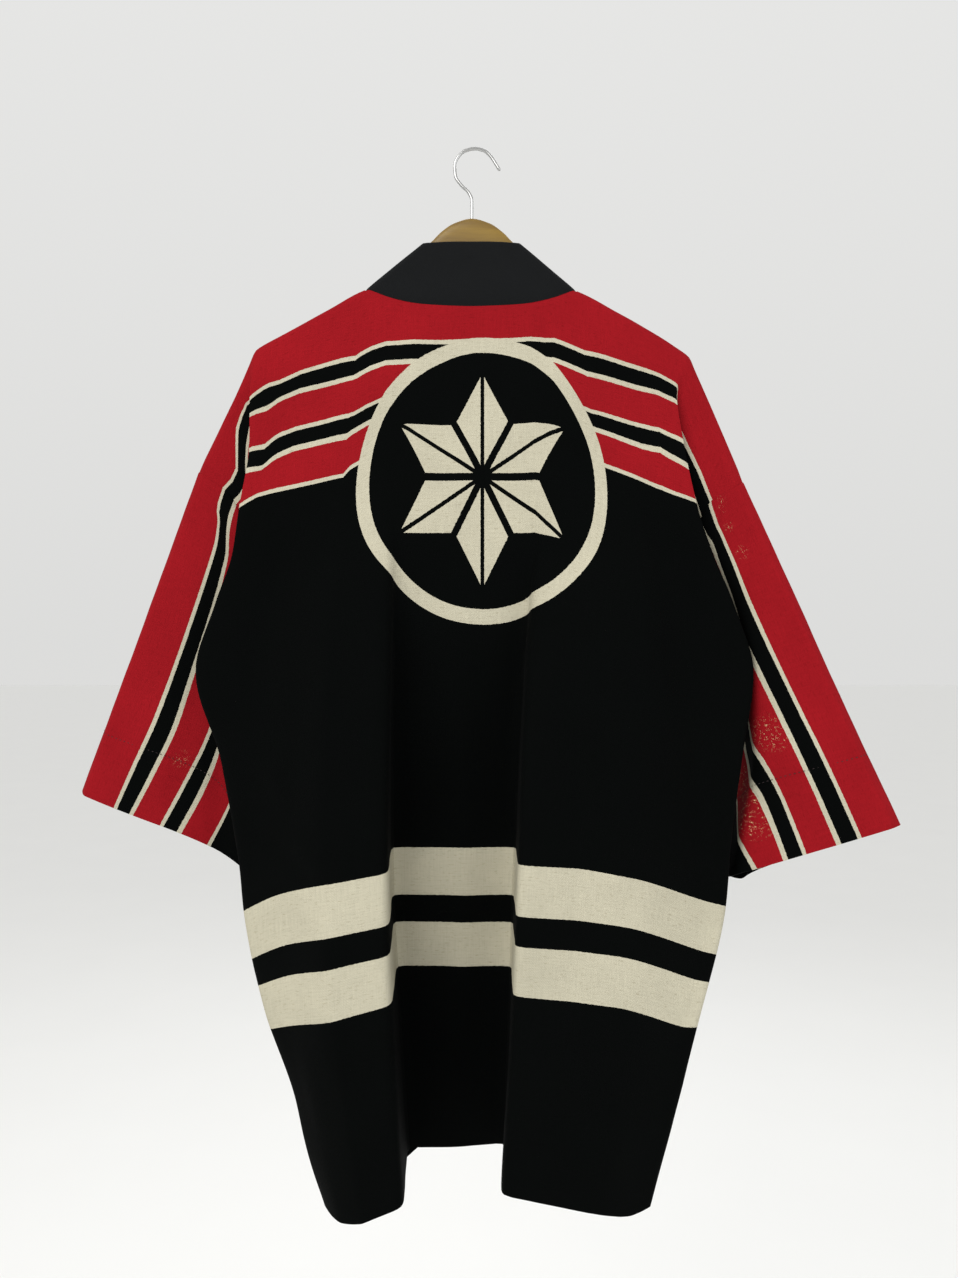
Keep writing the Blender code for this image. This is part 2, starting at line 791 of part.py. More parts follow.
def make_sleeve(name, lines, side):
    """A square open sleeve, folded at its top."""
    middle = np.array([sleeve_middle(lines, side, along) for along in SLEEVE_ROWS])
    backward = grid_normals(middle)
    backward *= np.sign(backward[:, :, 1].sum())
    seated = np.array([1 - ease(along, 0, ARMHOLE_BLEND) for along in SLEEVE_ROWS])[:, None, None]
    backward += (np.array([0.0, 1.0, 0.0]) - backward) * seated
    opened = 1 + (CUFF_HALF_GAP / ARMHOLE_HALF_GAP - 1) * np.array(SLEEVE_ROWS) / SLEEVE_LENGTH
    gaps = opened[:, None] * np.array([armhole_half_gap(v) for v in SLEEVE_STEPS])[None, :]
    reach = backward * gaps[:, :, None]
    directions = seam_directions(middle[0])
    directions /= np.linalg.norm(directions, axis=1, keepdims=True)
    outward = np.sign(np.dot(directions[0], middle[-1, 0] - middle[0, 0]))
    middle[0] += directions * outward * 2 * SEAM_GAP
    grid = np.concatenate([middle - reach, (middle + reach)[:, :0:-1]], axis=1)
    directions = np.concatenate([directions, directions[:0:-1]])
    wrapped = np.concatenate([grid[:, -1:], grid, grid[:, :1]], axis=1)
    normals = grid_normals(wrapped)[:, 1:-1]
    normals[0] = square_off(normals[0], directions)
    add_object(name, wall_mesh(grid, normals, CLOTH_WALL, closed=True), "black_cotton")


# Collar band

def collar_span(v, turn):
    """Way from the band's seam on a front to its free edge."""
    return read_line(COLLAR_SPAN, v) * np.array([turn, 1, 1])


def front_rungs(edge, turn):
    """Seam and free points of the band down one front, from the neck to the hem."""
    rungs = []
    for v in BODY_ROWS[1:]:
        if v < SHOULDER_ROUND:
            seam = over_shoulder(read_line(edge, 0), read_line(edge, SHOULDER_ROUND), v)
        else:
            seam = read_line(edge, v)
        rungs.append((seam, seam + collar_span(v, turn)))
    return rungs


def make_collar():
    """One long band, round the back of the neck and down both front edges."""
    rungs = front_rungs(LEFT_FRONT_EDGE, 1)[::-1] + neck_rungs() + front_rungs(RIGHT_FRONT_EDGE, -1)
    rows = []
    directions = []
    for seam, free in rungs:
        across = (free - seam) / np.linalg.norm(free - seam)
        start = seam + across * COLLAR_GAP
        rows.append([start, 0.5 * (start + free), free])
        directions.append(across)
    grid = np.array(rows)
    normals = grid_normals(grid)
    normals[:, 0] = square_off(normals[:, 0], np.array(directions))
    add_object("collar", wall_mesh(grid, normals, COLLAR_WALL), "collar_cotton")


# Hanger

def make_hanger_wood():
    """Curved wooden hanger with a bored crown for the hook's wire."""
    mesh = bmesh.new()
    half = WOOD_THICKNESS / 2
    ring = [mesh.verts.new(Vector((x, -half, z)) * MM) for x, z in WOOD_TOP + WOOD_BOTTOM]
    swept = bmesh.ops.extrude_face_region(mesh, geom=[mesh.faces.new(ring)])
    moved = [item for item in swept["geom"] if isinstance(item, bmesh.types.BMVert)]
    bmesh.ops.translate(mesh, verts=moved, vec=Vector((0, WOOD_THICKNESS * MM, 0)))
    bmesh.ops.recalc_face_normals(mesh, faces=mesh.faces)
    rims = [edge for edge in mesh.edges if abs(edge.verts[0].co.y - edge.verts[1].co.y) < MM]
    bmesh.ops.bevel(mesh, geom=rims, offset=WOOD_EDGE_ROUND * MM, segments=WOOD_EDGE_STEPS, profile=0.5,
                    affect="EDGES")
    bmesh.ops.triangulate(mesh, faces=mesh.faces)
    wood = add_object("hanger_wood", mesh, "pale_wood")
    bore = bmesh.new()
    bmesh.ops.create_cone(bore, cap_ends=True, segments=BORE_SIDES, radius1=HOOK_BORE_RADIUS * MM,
                          radius2=HOOK_BORE_RADIUS * MM, depth=2 * HOOK_BORE_DEPTH * MM)
    bmesh.ops.translate(bore, verts=bore.verts, vec=Vector((HOOK_FOOT_X, 0, WOOD_CROWN_Z)) * MM)
    cutter = add_object("hook_bore", bore, "bright_wire")
    cutter.hide_render = True
    cutter.display_type = "WIRE"
    cut = wood.modifiers.new("bore", "BOOLEAN")
    cut.operation = "DIFFERENCE"
    cut.object = cutter


def make_hook():
    """Bent wire hook."""
    table = []
    place = 0.0
    last = HOOK_LINE[0]
    for x, z in HOOK_LINE:
        place += math.hypot(x - last[0], z - last[1])
        table.append((place, x, 0.0, z))
        last = (x, z)
    path = np.array([read_line(table, place * i / (HOOK_POINTS - 1)) for i in range(HOOK_POINTS)])
    along = np.gradient(path, axis=0)
    along /= np.linalg.norm(along, axis=1, keepdims=True)
    across = np.array([0.0, 1.0, 0.0])
    mesh = bmesh.new()
    rings = []
    for point, way in zip(path, along):
        ring = []
        for i in range(WIRE_SIDES):
            turn = 2 * math.pi * i / WIRE_SIDES
            out = np.cross(way, across) * math.cos(turn) + across * math.sin(turn)
            ring.append(mesh.verts.new((point + out * WIRE_RADIUS) * MM))
        rings.append(ring)
    for start, end in zip(rings, rings[1:]):
        for i in range(WIRE_SIDES):
            j = (i + 1) % WIRE_SIDES
            mesh.faces.new([start[i], start[j], end[j], end[i]])
    mesh.faces.new(rings[0])
    mesh.faces.new(rings[-1])
    bmesh.ops.recalc_face_normals(mesh, faces=mesh.faces)
    bmesh.ops.triangulate(mesh, faces=mesh.faces)
    add_object("hanger_hook", mesh, "bright_wire")


def clear_scene():
    """Remove the objects that the file starts with."""
    for item in list(bpy.data.objects):
        bpy.data.objects.remove(item)


clear_scene()
make_back()
make_fronts()
make_sleeve("sleeve_left", LEFT_SLEEVE_LINES, LEFT_SIDE)
make_sleeve("sleeve_right", RIGHT_SLEEVE_LINES, RIGHT_SIDE)
make_collar()
make_hanger_wood()
make_hook()
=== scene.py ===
# Looks of a short straight-cut cotton coat that hangs from a wooden hanger with a wire hook.
# The back of the coat faces -Y, its fronts face +Y, +X is to the right, +Z is up.
# Sizes below are in millimetres; every mesh is made in metres.

import math
from functools import partialmethod

import bmesh
import bpy
import numpy as np
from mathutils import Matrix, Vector


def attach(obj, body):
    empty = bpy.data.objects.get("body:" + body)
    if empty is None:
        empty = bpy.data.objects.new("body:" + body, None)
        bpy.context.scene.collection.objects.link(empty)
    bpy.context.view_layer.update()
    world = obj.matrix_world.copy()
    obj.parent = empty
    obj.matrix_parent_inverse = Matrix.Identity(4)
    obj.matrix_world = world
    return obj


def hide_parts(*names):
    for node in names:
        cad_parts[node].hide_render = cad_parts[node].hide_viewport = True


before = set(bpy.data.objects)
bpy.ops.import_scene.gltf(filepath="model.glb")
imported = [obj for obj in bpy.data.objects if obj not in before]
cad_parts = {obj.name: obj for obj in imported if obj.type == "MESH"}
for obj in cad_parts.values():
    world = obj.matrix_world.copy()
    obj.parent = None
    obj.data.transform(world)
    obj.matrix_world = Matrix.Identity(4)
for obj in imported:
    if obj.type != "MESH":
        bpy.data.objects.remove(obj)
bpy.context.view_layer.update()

MM = 0.001
BODY = "root"

# Cut of the coat
BODY_LENGTH = 830.0
ARMHOLE_DEPTH = 295.0
SLEEVE_LENGTH = 337.0
COLLAR_WIDTH = 60.0

# Walls and seams
CLOTH_WALL = 1.3
COLLAR_WALL = 2.4
SHOULDER_ROUND = 9.0
SEAM_DIP = 0.7
SEAM_REACH = 3.0

# Mesh steps along the cloth
ROW_STEP = 5.5
COLUMN_STEP = 5.0
SHOULDER_STEP = 1.5
LEAST_STEP = 1e-9

# A fold's corner is rounded through three points, over less than half of each stretch beside it
CORNER_POINTS = 3
CORNER_SHARE = 0.45

# Most of the shoulder's quarter turn that a top row may already have behind it
MOST_REACHED = 0.99

# Way from the coat's back to its fronts
FRONTWARD = np.array([0.0, 1.0, 0.0])

# Angles above which two faces meet in a sharp edge, in degrees
CLOTH_SHARP = 55
STITCH_SHARP = 80
HANGER_SHARP = 60

# Wood of the hanger: its half thickness, the round of its edges where its half height is over
# WOOD_TALL, the powers that square its section, and how far its ends stand out
WOOD_HALF_THICKNESS = 5.2
WOOD_EDGE_ROUND = 4.6
WOOD_TALL = 9.0
WOOD_LOW_POWER = 0.9
WOOD_SQUARENESS = 0.6
WOOD_END = 1.5
WOOD_SIDES = 28
OUTLINE_POINTS = 140

# Wire of the hook: its radius, the least share of its section at the tip, and where it leaves the wood
WIRE_RADIUS = 1.7
WIRE_TIP = 0.06
WIRE_SIDES = 20
HOOK_POINTS = 120
HOOK_FOOT_X = -3.0
HOOK_FOOT_Z = -79.7

# Camera: its place, its lens and its sensor, and how near in metres it sees
CAMERA_PLACE = (3.8, -960.0, -469.0)
CAMERA_LENS = 28.17
SENSOR_WIDTH = 36.0
CLIP_START = 0.01

FLOOR_Z = -1900.0
FLOOR_HALF_WIDTH = 30000.0
FLOOR_SEGMENTS = 8

# Fold lines of the back. Each runs down the cloth; its columns are
# v (distance down the cloth from the shoulder fold), x, y, z.
CENTRE_LINE = [
    (25, -4, -9, -153), (120, 2, -12, -248), (185, 6, -14, -313), (300, 0, -14, -428),
    (420, -10, -10, -547), (560, -19, -7, -687), (700, -20, -5, -826), (830, -19, -3, -955),
]
LEFT_VALLEY = [
    (22, -56, -9, -150), (120, -62, -12, -246), (220, -68, -14, -348), (285, -74, -13, -413),
    (400, -80, -9, -530), (545, -80, -6, -672), (700, -73, -5, -826), (830, -65, -3, -955),
]
LEFT_CREST = [
    (14, -82, -9, -144), (120, -86, -13, -249), (220, -84, -18, -352), (285, -79, -30, -417),
    (400, -77, -64, -538), (545, -76, -90, -678), (700, -70, -95, -832), (830, -62, -94, -961),
]
LEFT_NECK = [
    (0, -105, 0, -135), (9, -106, -9, -144), (60, -113, -10, -196), (120, -120, -13, -262),
    (220, -128, -22, -366), (315, -133, -48, -462), (400, -136, -72, -550), (545, -134, -91, -688),
    (700, -116, -97, -846), (830, -98, -93, -976),
]
LEFT_HOLLOW = [
    (0, -160, 0, -165), (9, -161, -9, -174), (60, -166, -10, -226), (120, -172, -11, -286),
    (220, -180, -18, -388), (315, -188, -34, -487), (400, -189, -50, -573), (545, -178, -66, -702),
    (700, -148, -80, -856), (830, -119, -84, -981),
]
LEFT_EDGE = [
    (0, -209, 0, -192), (9, -210, -9, -202), (46, -214, -13, -242), (100, -214, -16, -287),
    (154, -222, -19, -342), (200, -228, -22, -387), (250, -243, -26, -435), (315, -260, -30, -498),
    (400, -235, -36, -582), (480, -220, -42, -660), (560, -208, -48, -736), (640, -190, -52, -810),
    (720, -164, -56, -882), (780, -150, -58, -936), (830, -135, -60, -978),
]
LEFT_TUCK = [
    (0, -230, 4, -236), (9, -224, -3, -238), (46, -206, -2, -270), (100, -194, -1, -322),
    (154, -192, 0, -380), (200, -190, -2, -432), (250, -192, -4, -480), (315, -198, -4, -537),
    (400, -203, -4, -612), (545, -174, -4, -742), (640, -148, -4, -820), (720, -122, -4, -884),
    (830, -82, -4, -980),
]
LEFT_SIDE = [
    (0, -268, 12, -307), (46, -240, 12, -326), (80, -225, 12, -352), (154, -208, 12, -424),
    (200, -206, 11, -468), (295, -212, 10, -552), (371, -222, 9, -618), (545, -190, 8, -762),
    (700, -145, 8, -888), (830, -98, 8, -1000),
]
RIGHT_VALLEY = [
    (22, 50, -9, -150), (120, 56, -12, -246), (220, 57, -14, -348), (300, 52, -13, -428),
    (400, 45, -10, -530), (545, 39, -6, -672), (700, 34, -5, -826), (830, 29, -3, -951),
]
RIGHT_CREST = [
    (14, 76, -9, -144), (120, 74, -13, -249), (220, 68, -17, -350), (300, 54, -27, -430),
    (400, 45, -68, -532), (470, 41, -90, -600), (545, 38, -106, -667), (700, 31, -110, -818),
    (830, 23, -108, -943),
]
RIGHT_NECK = [
    (0, 97, 0, -136), (9, 98, -9, -145), (60, 104, -10, -197), (120, 110, -13, -262),
    (220, 110, -22, -362), (315, 100, -48, -456), (400, 95, -70, -544), (545, 90, -91, -673),
    (700, 80, -98, -828), (830, 70, -98, -958),
]
RIGHT_SWELL = [
    (0, 150, 0, -164), (9, 151, -9, -173), (60, 156, -10, -225), (120, 158, -14, -286),
    (220, 156, -30, -384), (315, 152, -56, -478), (400, 148, -76, -564), (545, 143, -90, -682),
    (700, 128, -96, -836), (830, 108, -97, -966),
]
RIGHT_HOLLOW = [
    (0, 182, 0, -183), (9, 181, -9, -192), (60, 174, -11, -236), (154, 176, -17, -330),
    (250, 186, -28, -420), (315, 196, -38, -484), (400, 205, -50, -574), (545, 206, -66, -708),
    (700, 172, -78, -856), (830, 136, -86, -974),
]
RIGHT_EDGE = [
    (0, 205, 0, -199), (9, 201, -9, -208), (46, 191, -14, -236), (100, 197, -19, -282),
    (154, 208, -24, -342), (200, 221, -28, -386), (250, 240, -34, -436), (315, 256, -43, -497),
    (400, 243, -54, -574), (480, 231, -62, -652), (545, 224, -67, -712), (640, 201, -73, -800),
    (720, 181, -77, -874), (780, 166, -79, -928), (830, 155, -80, -968),
]
RIGHT_TUCK = [
    (0, 224, -8, -248), (9, 217, -10, -249), (46, 188, -3, -266), (100, 181, -2, -318),
    (154, 184, -2, -378), (200, 186, -3, -432), (250, 192, -4, -482), (315, 199, -6, -537),
    (400, 208, -6, -612), (545, 189, 0, -742), (640, 168, 3, -820), (720, 148, 4, -884),
    (830, 118, 4, -978),
]
RIGHT_SIDE = [
    (0, 251, -22, -322), (46, 222, -8, -340), (80, 211, 2, -368), (154, 202, 9, -434),
    (200, 202, 10, -478), (295, 212, 11, -562), (371, 224, 13, -622), (545, 205, 16, -760),
    (700, 170, 18, -885), (830, 134, 19, -996),
]

# Fold lines of the two front panels, with the same columns.
LEFT_FRONT_EDGE = [
    (0, -105, 0, -135), (9, -105, 8.5, -144), (60, -101, 9, -192), (150, -88, 9, -280),
    (300, -42, 10, -428), (450, 8, 11, -576), (600, 40, 12, -725), (830, 64, 12, -948),
]
LEFT_FRONT_INNER = [
    (0, -160, 0, -165), (9, -160, 8.5, -174), (100, -156, 10, -265), (250, -128, 14, -415),
    (400, -88, 14, -562), (600, -40, 10, -750), (830, 4, 15, -947),
]
LEFT_FRONT_OUTER = [
    (0, -209, 0, -192), (9, -209, 8.5, -202), (60, -208, 9, -262), (154, -186, 11, -360),
    (250, -178, 12, -470), (400, -170, 11, -600), (600, -128, 13, -780), (830, -46, 10, -953),
]
RIGHT_FRONT_EDGE = [
    (0, 97, 0, -136), (9, 97, 8.5, -145), (60, 94, 9, -192), (150, 82, 12, -280), (300, 40, 19, -428),
    (450, -8, 24, -576), (600, -40, 25, -725), (830, -62, 27, -946),
]
RIGHT_FRONT_INNER = [
    (0, 150, 0, -164), (9, 150, 8.5, -173), (100, 146, 11, -263), (250, 124, 18, -413),
    (400, 86, 22, -562), (600, 46, 23, -756), (830, 6, 28, -950),
]
RIGHT_FRONT_OUTER = [
    (0, 205, 0, -199), (9, 203, 8.5, -209), (60, 192, 9, -262), (154, 180, 11, -370),
    (250, 176, 15, -470), (400, 166, 18, -600), (600, 140, 23, -780), (830, 72, 24, -966),
]

# Lines along each sleeve, from the armhole to the cuff: the top fold, where the body hides
# the sleeve, the hidden stretch and the under fold. The columns are
# along (distance from the armhole), x, y, z.
LEFT_SLEEVE = [
    [(0, -268, 12, -307), (120, -311, 20, -418), (230, -351, 27, -521), (337, -390, 34, -620)],
    [(0, -225, 12, -352), (120, -248, 18, -446), (230, -256, 27, -563), (337, -232, 35, -694)],
    [(0, -207, 11, -440), (60, -230, 17, -474), (120, -242, 21, -500), (230, -246, 30, -597),
     (337, -211, 38, -727)],
    [(0, -212, 10, -552), (40, -222, 18, -551), (120, -236, 25, -556), (230, -236, 33, -632),
     (337, -190, 42, -760)],
]
RIGHT_SLEEVE = [
    [(0, 251, -22, -322), (120, 294, -44, -432), (230, 332, -66, -533), (337, 370, -90, -631)],
    [(0, 211, 2, -368), (60, 237, -12, -398), (120, 256, -21, -453), (230, 263, -32, -562),
     (337, 241, -43, -687)],
    [(0, 202, 10, -455), (60, 231, 12, -477), (120, 254, 18, -507), (230, 259, 26, -600),
     (337, 235, 30, -702)],
    [(0, 212, 11, -562), (40, 226, 20, -560), (120, 244, 26, -564), (230, 237, 34, -632),
     (337, 182, 44, -750)],
]

# Free edge of the collar round the neck, from the left shoulder to the right. The columns are
# x, y, z. The first and last rows only give the edge its direction there.
COLLAR_TOP_EDGE = [
    (-60, 0, -100), (-50, 0, -92), (-49, -9, -92.5), (-40, -9, -92), (-33, -9, -91.5), (-21, -9, -91),
    (-4, -9, -91), (15, -9, -91), (27, -9, -91.5), (33, -9, -92), (42, -9, -92.5), (43, 0, -92),
    (53, 0, -100),
]

# How far the collar's free edge stands from its seam on a front.
# The columns are v, x, y, z, for the left front; the right front mirrors x.
COLLAR_SPAN = [
    (0, 55, 0, 43), (9, 54, 0.5, 42), (60, 57, 1, 22), (150, COLLAR_WIDTH, 1.5, 8),
    (300, COLLAR_WIDTH, 1.5, 4), (830, COLLAR_WIDTH, 1.5, 2),
]

# How far from the armhole a sleeve still follows it, in its place and in its print
ARMHOLE_BLEND = 20.0
SLEEVE_EASE = 60.0

# Half the gap between the two layers at the armhole, under the arm, down the side and at the cuff
ARMHOLE_HALF_GAP = 6.0
UNDERARM_HALF_GAP = 2.5
SIDE_HALF_GAP = 1.15
CUFF_HALF_GAP = 10.0
UNDERARM_CLOSES = (70.0, 190.0)
SIDE_CLOSES = (295.0, 380.0)

# Outline of the wooden hanger. The columns are x, z.
WOOD_TOP = [
    (-202, -190.3), (-160, -167), (-105, -137.4), (-77, -117), (-54, -98), (-42, -88.5), (-32, -78.5),
    (-20, -70.5), (-3, -66), (14, -70.5), (26, -78.5), (36, -88.5), (47, -98.6), (72, -119.6),
    (97, -138.6), (150, -166.4), (182, -185.8), (198, -197),
]
WOOD_BOTTOM = [
    (194, -216), (150, -194), (97, -168), (60, -150), (20, -136), (-3, -133), (-26, -136), (-66, -150),
    (-105, -167), (-160, -195), (-198, -212),
]

# Centre line of the hook's wire. The columns are x, z.
HOOK_LINE = [
    (HOOK_FOOT_X, HOOK_FOOT_Z), (HOOK_FOOT_X, -62), (HOOK_FOOT_X, -48), (-6, -40.5), (-13, -33.5),
    (-18.5, -25), (-19.5, -15), (-16, -6), (-9, -0.2), (0, WIRE_RADIUS), (9, -0.4), (15.5, -6.2),
    (20, -13), (24, -19.5),
]

# How far each fold's corner is rounded along the cloth
CORNERS = {
    "side": 0, "tuck": 14, "edge_behind": 4, "edge": 4, "hollow": 24, "swell": 20,
    "neck": 16, "neck_turn": 7, "neck_back": 8, "crest": 10, "valley": 9, "centre": 28,
}
LEFT_SIDE_FOLDS = ["side", "tuck", "edge_behind", "edge", "hollow"]
RIGHT_SIDE_FOLDS = ["side", "tuck", "edge_behind", "edge", "hollow", "swell"]
NECK_FOLDS = ["neck", "neck_turn", "neck_back", "crest", "valley"]
LEFT_LINES = {"side": LEFT_SIDE, "tuck": LEFT_TUCK, "edge": LEFT_EDGE, "hollow": LEFT_HOLLOW,
              "neck": LEFT_NECK, "crest": LEFT_CREST, "valley": LEFT_VALLEY}
RIGHT_LINES = {"side": RIGHT_SIDE, "tuck": RIGHT_TUCK, "edge": RIGHT_EDGE, "hollow": RIGHT_HOLLOW,
               "swell": RIGHT_SWELL, "neck": RIGHT_NECK, "crest": RIGHT_CREST, "valley": RIGHT_VALLEY}
LEFT_FRONT = [LEFT_FRONT_OUTER, LEFT_FRONT_INNER, LEFT_FRONT_EDGE]
RIGHT_FRONT = [RIGHT_FRONT_OUTER, RIGHT_FRONT_INNER, RIGHT_FRONT_EDGE]
NECK_CORNER = 0.6

# Row whose stretches set how finely all the rows are cut
LAID_ROW = 400.0

# The edge behind: its share of the way to the tuck at the top, and its way from the edge where
# the fold has settled, so far down the cloth
EDGE_START = 0.25
EDGE_TURN = (0.0, 8.0, -2.0)
SETTLED = 150.0

# Places between the neck and the crest, as shares of the way
NECK_SHARES = {"neck_turn": 0.15, "neck_back": 0.5}

# Places between a front's side and its outer fold, the corners of its folds, and the distance
# down at which it no longer follows the shoulder
FRONT_SHARES = {"side": 0.0, "tuck": 0.35, "edge_behind": 0.7, "edge": 1.0}
FRONT_CORNER = 14
HOLLOW_CORNER = 30
FRONT_HANGS = 92.0

# How much further down the print lies than the cloth at each fold, where the hung cloth is pulled.
# One value for each of the distances in SHIFT_ROWS.
SHIFT_ROWS = (0, 14, 46, 68, 103, 123, 156, 240)
LEFT_SHIFTS = {
    "side": (0, 9, 9, 7, 0, 0, 0, 0),
    "panel_outer": (0, 7, 7, 6, 0, 0, 0, 0),
    "panel_middle": (0, 3, 3, 3, 0, 0, 0, 0),
    "panel_inner": (0, 18, 18, 10, 0, 0, 0, 0),
    "panel_tuck": (0, 31, 33, 20, 5, 0, 0, 0),
    "tuck": (0, 27, 38, 30, 8, 0, 0, 0),
    "edge_behind": (0, 7, 12, 10, 4, 0, 1, 0),
    "edge": (0, 2, 5, 6, 2, 0, 2, 0),
    "pucker": (0, 2, 7, 1.5, -1.4, -5.2, 5, 0),
    "pucker_end": (0, 1, 3.3, 4.6, 3.1, 1, 3, 0),
    "hollow": (0, 0, 0.5, 2, 1.9, 1, -1, 0),
    "neck": (-15, -15, -15, -15, -10.2, -10, -13, 0),
    "neck_turn": (-13, -13, -13, -13, -11.3, -9.3, -8, 0),
    "neck_back": (-10, -10, -10, -10, -8.2, -6.2, -4, 0),
    "crest": (-8.3, -8.3, -8.3, -8.3, -6.2, -3.8, -0.4, 0),
    "valley": (-9.5, -9.5, -9.5, -9.5, -7.1, -4.3, -0.5, 0),
    "centre": (-8.3, -8.3, -8.3, -8.3, -6.2, -3.8, -0.4, 0),
}
RIGHT_SHIFTS = {
    "side": (0, 7, 7, 4, 0, 0, 0, 0),
    "panel_outer": (0, 8, 8, 6, 0, 0, 0, 0),
    "panel_middle": (0, 11, 11, 8, 0, 0, 0, 0),
    "panel_inner": (0, 12, 12, 8, 0, 0, 0, 0),
    "panel_tuck": (0, 12, 12, 8, 0, 0, 0, 0),
    "tuck": (0, 12, 12, 8, 0, 0, 0, 0),
    "edge_behind": (0, 12, 12, 8, 3, 0, 3, 0),
    "edge": (0, 12, 13, 10, 4.5, 0.5, 6, 0),
    "hollow": (0, 8, 10, 10, 9.5, 8, 7, 0),
    "swell": (0, 3, 3.5, 3.5, 4.6, 2.7, 4.6, 0),
    "neck": (-9, -9, -9, -9, -6.7, -4.1, -0.5, 0),
    "neck_turn": (-8.5, -8.5, -8.5, -8.5, -6.3, -3.9, -0.5, 0),
    "neck_back": (-7, -7, -7, -7, -5.2, -3.2, -0.4, 0),
    "crest": (-5.1, -5.1, -5.1, -5.1, -3.8, -2.3, -0.3, 0),
    "valley": (-7, -7, -7, -7, -5.2, -3.2, -0.4, 0),
}

# Places between two folds: the outer fold, the inner fold and the share of the way between them
PANEL_PLACES = {
    "panel_outer": ("side", "tuck", 0.1),
    "panel_middle": ("side", "tuck", 0.28),
    "panel_inner": ("side", "tuck", 0.5),
    "panel_tuck": ("side", "tuck", 0.75),
    "pucker": ("edge", "hollow", 0.34),
    "pucker_end": ("edge", "hollow", 0.6),
}

# Soft creases, as seen against the X-Z plane. The columns are the x, z where one starts,
# the x, z where it ends, its half width and its height; a trough has a negative height.
BACK_CREASES = [
    (-178, -352, -202, -520, 16, -3.0), (-202, -500, -200, -675, 20, -3.5),
    (-146, -420, -150, -560, 18, 2.5), (-146, -500, -180, -660, 18, -3.0),
    (-120, -640, -128, -830, 14, 2.0), (-175, -700, -150, -900, 16, -2.0),
    (171, -330, 196, -520, 18, -3.0), (196, -500, 214, -650, 18, -3.0), (92, -470, 96, -640, 16, -3.0),
    (128, -560, 140, -700, 20, 2.5), (150, -640, 118, -860, 18, -2.0), (110, -800, 124, -940, 12, 1.6),
    (-12, -500, -16, -900, 16, 3.0), (-30, -190, -34, -330, 14, -1.6), (24, -200, 30, -330, 14, -1.4),
    (-100, -180, -150, -260, 12, -1.6), (102, -190, 150, -270, 12, -1.6), (-66, -140, -84, -200, 8, -1.8),
    (60, -142, 74, -200, 8, -1.6), (-214, -560, -170, -620, 10, 1.8), (222, -590, 176, -640, 10, 1.8),
    (206, -236, 226, -312, 8, -3.0), (-200, -640, -140, -690, 9, -1.6), (210, -680, 150, -720, 9, -1.6),
]
FRONT_CREASES = [
    (-170, -260, -120, -480, 14, -2.5), (-150, -520, -90, -760, 16, 2.5),
    (-70, -420, -40, -640, 14, -2.5), (-60, -740, -30, -920, 12, 2.0), (160, -280, 120, -500, 14, -2.5),
    (150, -520, 110, -760, 16, 2.5), (70, -430, 50, -660, 14, -2.5), (90, -760, 60, -930, 12, 2.0),
    (-196, -560, -120, -600, 9, 1.8), (200, -580, 120, -620, 9, 1.8),
]
LEFT_SLEEVE_CREASES = [
    (-246, -400, -300, -650, 10, -1.2), (-262, -420, -340, -600, 9, 0.9),
    (-230, -500, -258, -690, 12, -1.6),
]
RIGHT_SLEEVE_CREASES = [
    (232, -400, 288, -650, 10, -1.4), (252, -440, 330, -620, 9, 1.0), (240, -500, 262, -680, 12, -1.6),
]
COLLAR_CREASES = [
    (-30, -112, 20, -120, 10, -0.8), (-66, -120, -52, -136, 7, -0.8), (54, -118, 62, -140, 7, -0.8),
    (-80, -300, -30, -420, 12, -1.0), (60, -340, 20, -480, 12, 1.0), (60, -760, 66, -900, 12, -1.0),
    (-50, -720, -60, -880, 12, 1.0),
]

# Course of a crease: how often, how far and from where it sways, and over what share it fades
CREASE_BENDS = 5.0
CREASE_SWAY = 0.25
CREASE_PHASE = 0.1
CREASE_FADE = 0.5

# Slight unevenness of hung cotton: each ripple's height, then across the cloth and down it its
# length, its sway and the sway's length
RIPPLES = [(0.35, 23, 1.3, 61, 47, 0.8, 37), (0.16, 9.5, 2, 33, 19, 1, 14)]

# Where the ripples start and how strong they are on the pieces, and how far from its seams a
# piece lies still
FRONT_RIPPLE_START = 200
SLEEVE_RIPPLE_START = 90
SLEEVE_RIPPLE = 0.7
COLLAR_RIPPLE_START = 40
COLLAR_RIPPLE = 0.5
BACK_STILL = 12
SHOULDER_STILL = 6
FRONT_STILL = 14
SLEEVE_STILL = 14
COLLAR_STILL = 4

# Points across the collar band, as shares of its width, and how thick the doubled cloth is
# there: thin at the seam, rounded between, and drawn in at the folded edge
COLLAR_SHARES = [0, 0.02, 0.05, 0.12, 0.22, 0.32, 0.42, 0.52, 0.62, 0.72, 0.82, 0.92, 0.97, 0.99, 1]
COLLAR_THIN = 0.72
COLLAR_FOLD = [0.85, 0.62, 0.2]

# Stripes down the cloth, below the shoulder fold: where each cream or red band starts and ends
CREAM_BANDS = [
    (48.3, 52.5), (67.2, 72.0), (103.8, 107.8), (121.2, 126.2), (155.9, 159.9), (540.3, 585.9),
    (611.9, 654.2),
]
RED_BANDS = [(-100.0, 50.0), (70.0, 105.0), (124.0, 157.0)]
STRIPE_WOBBLE = 1.1

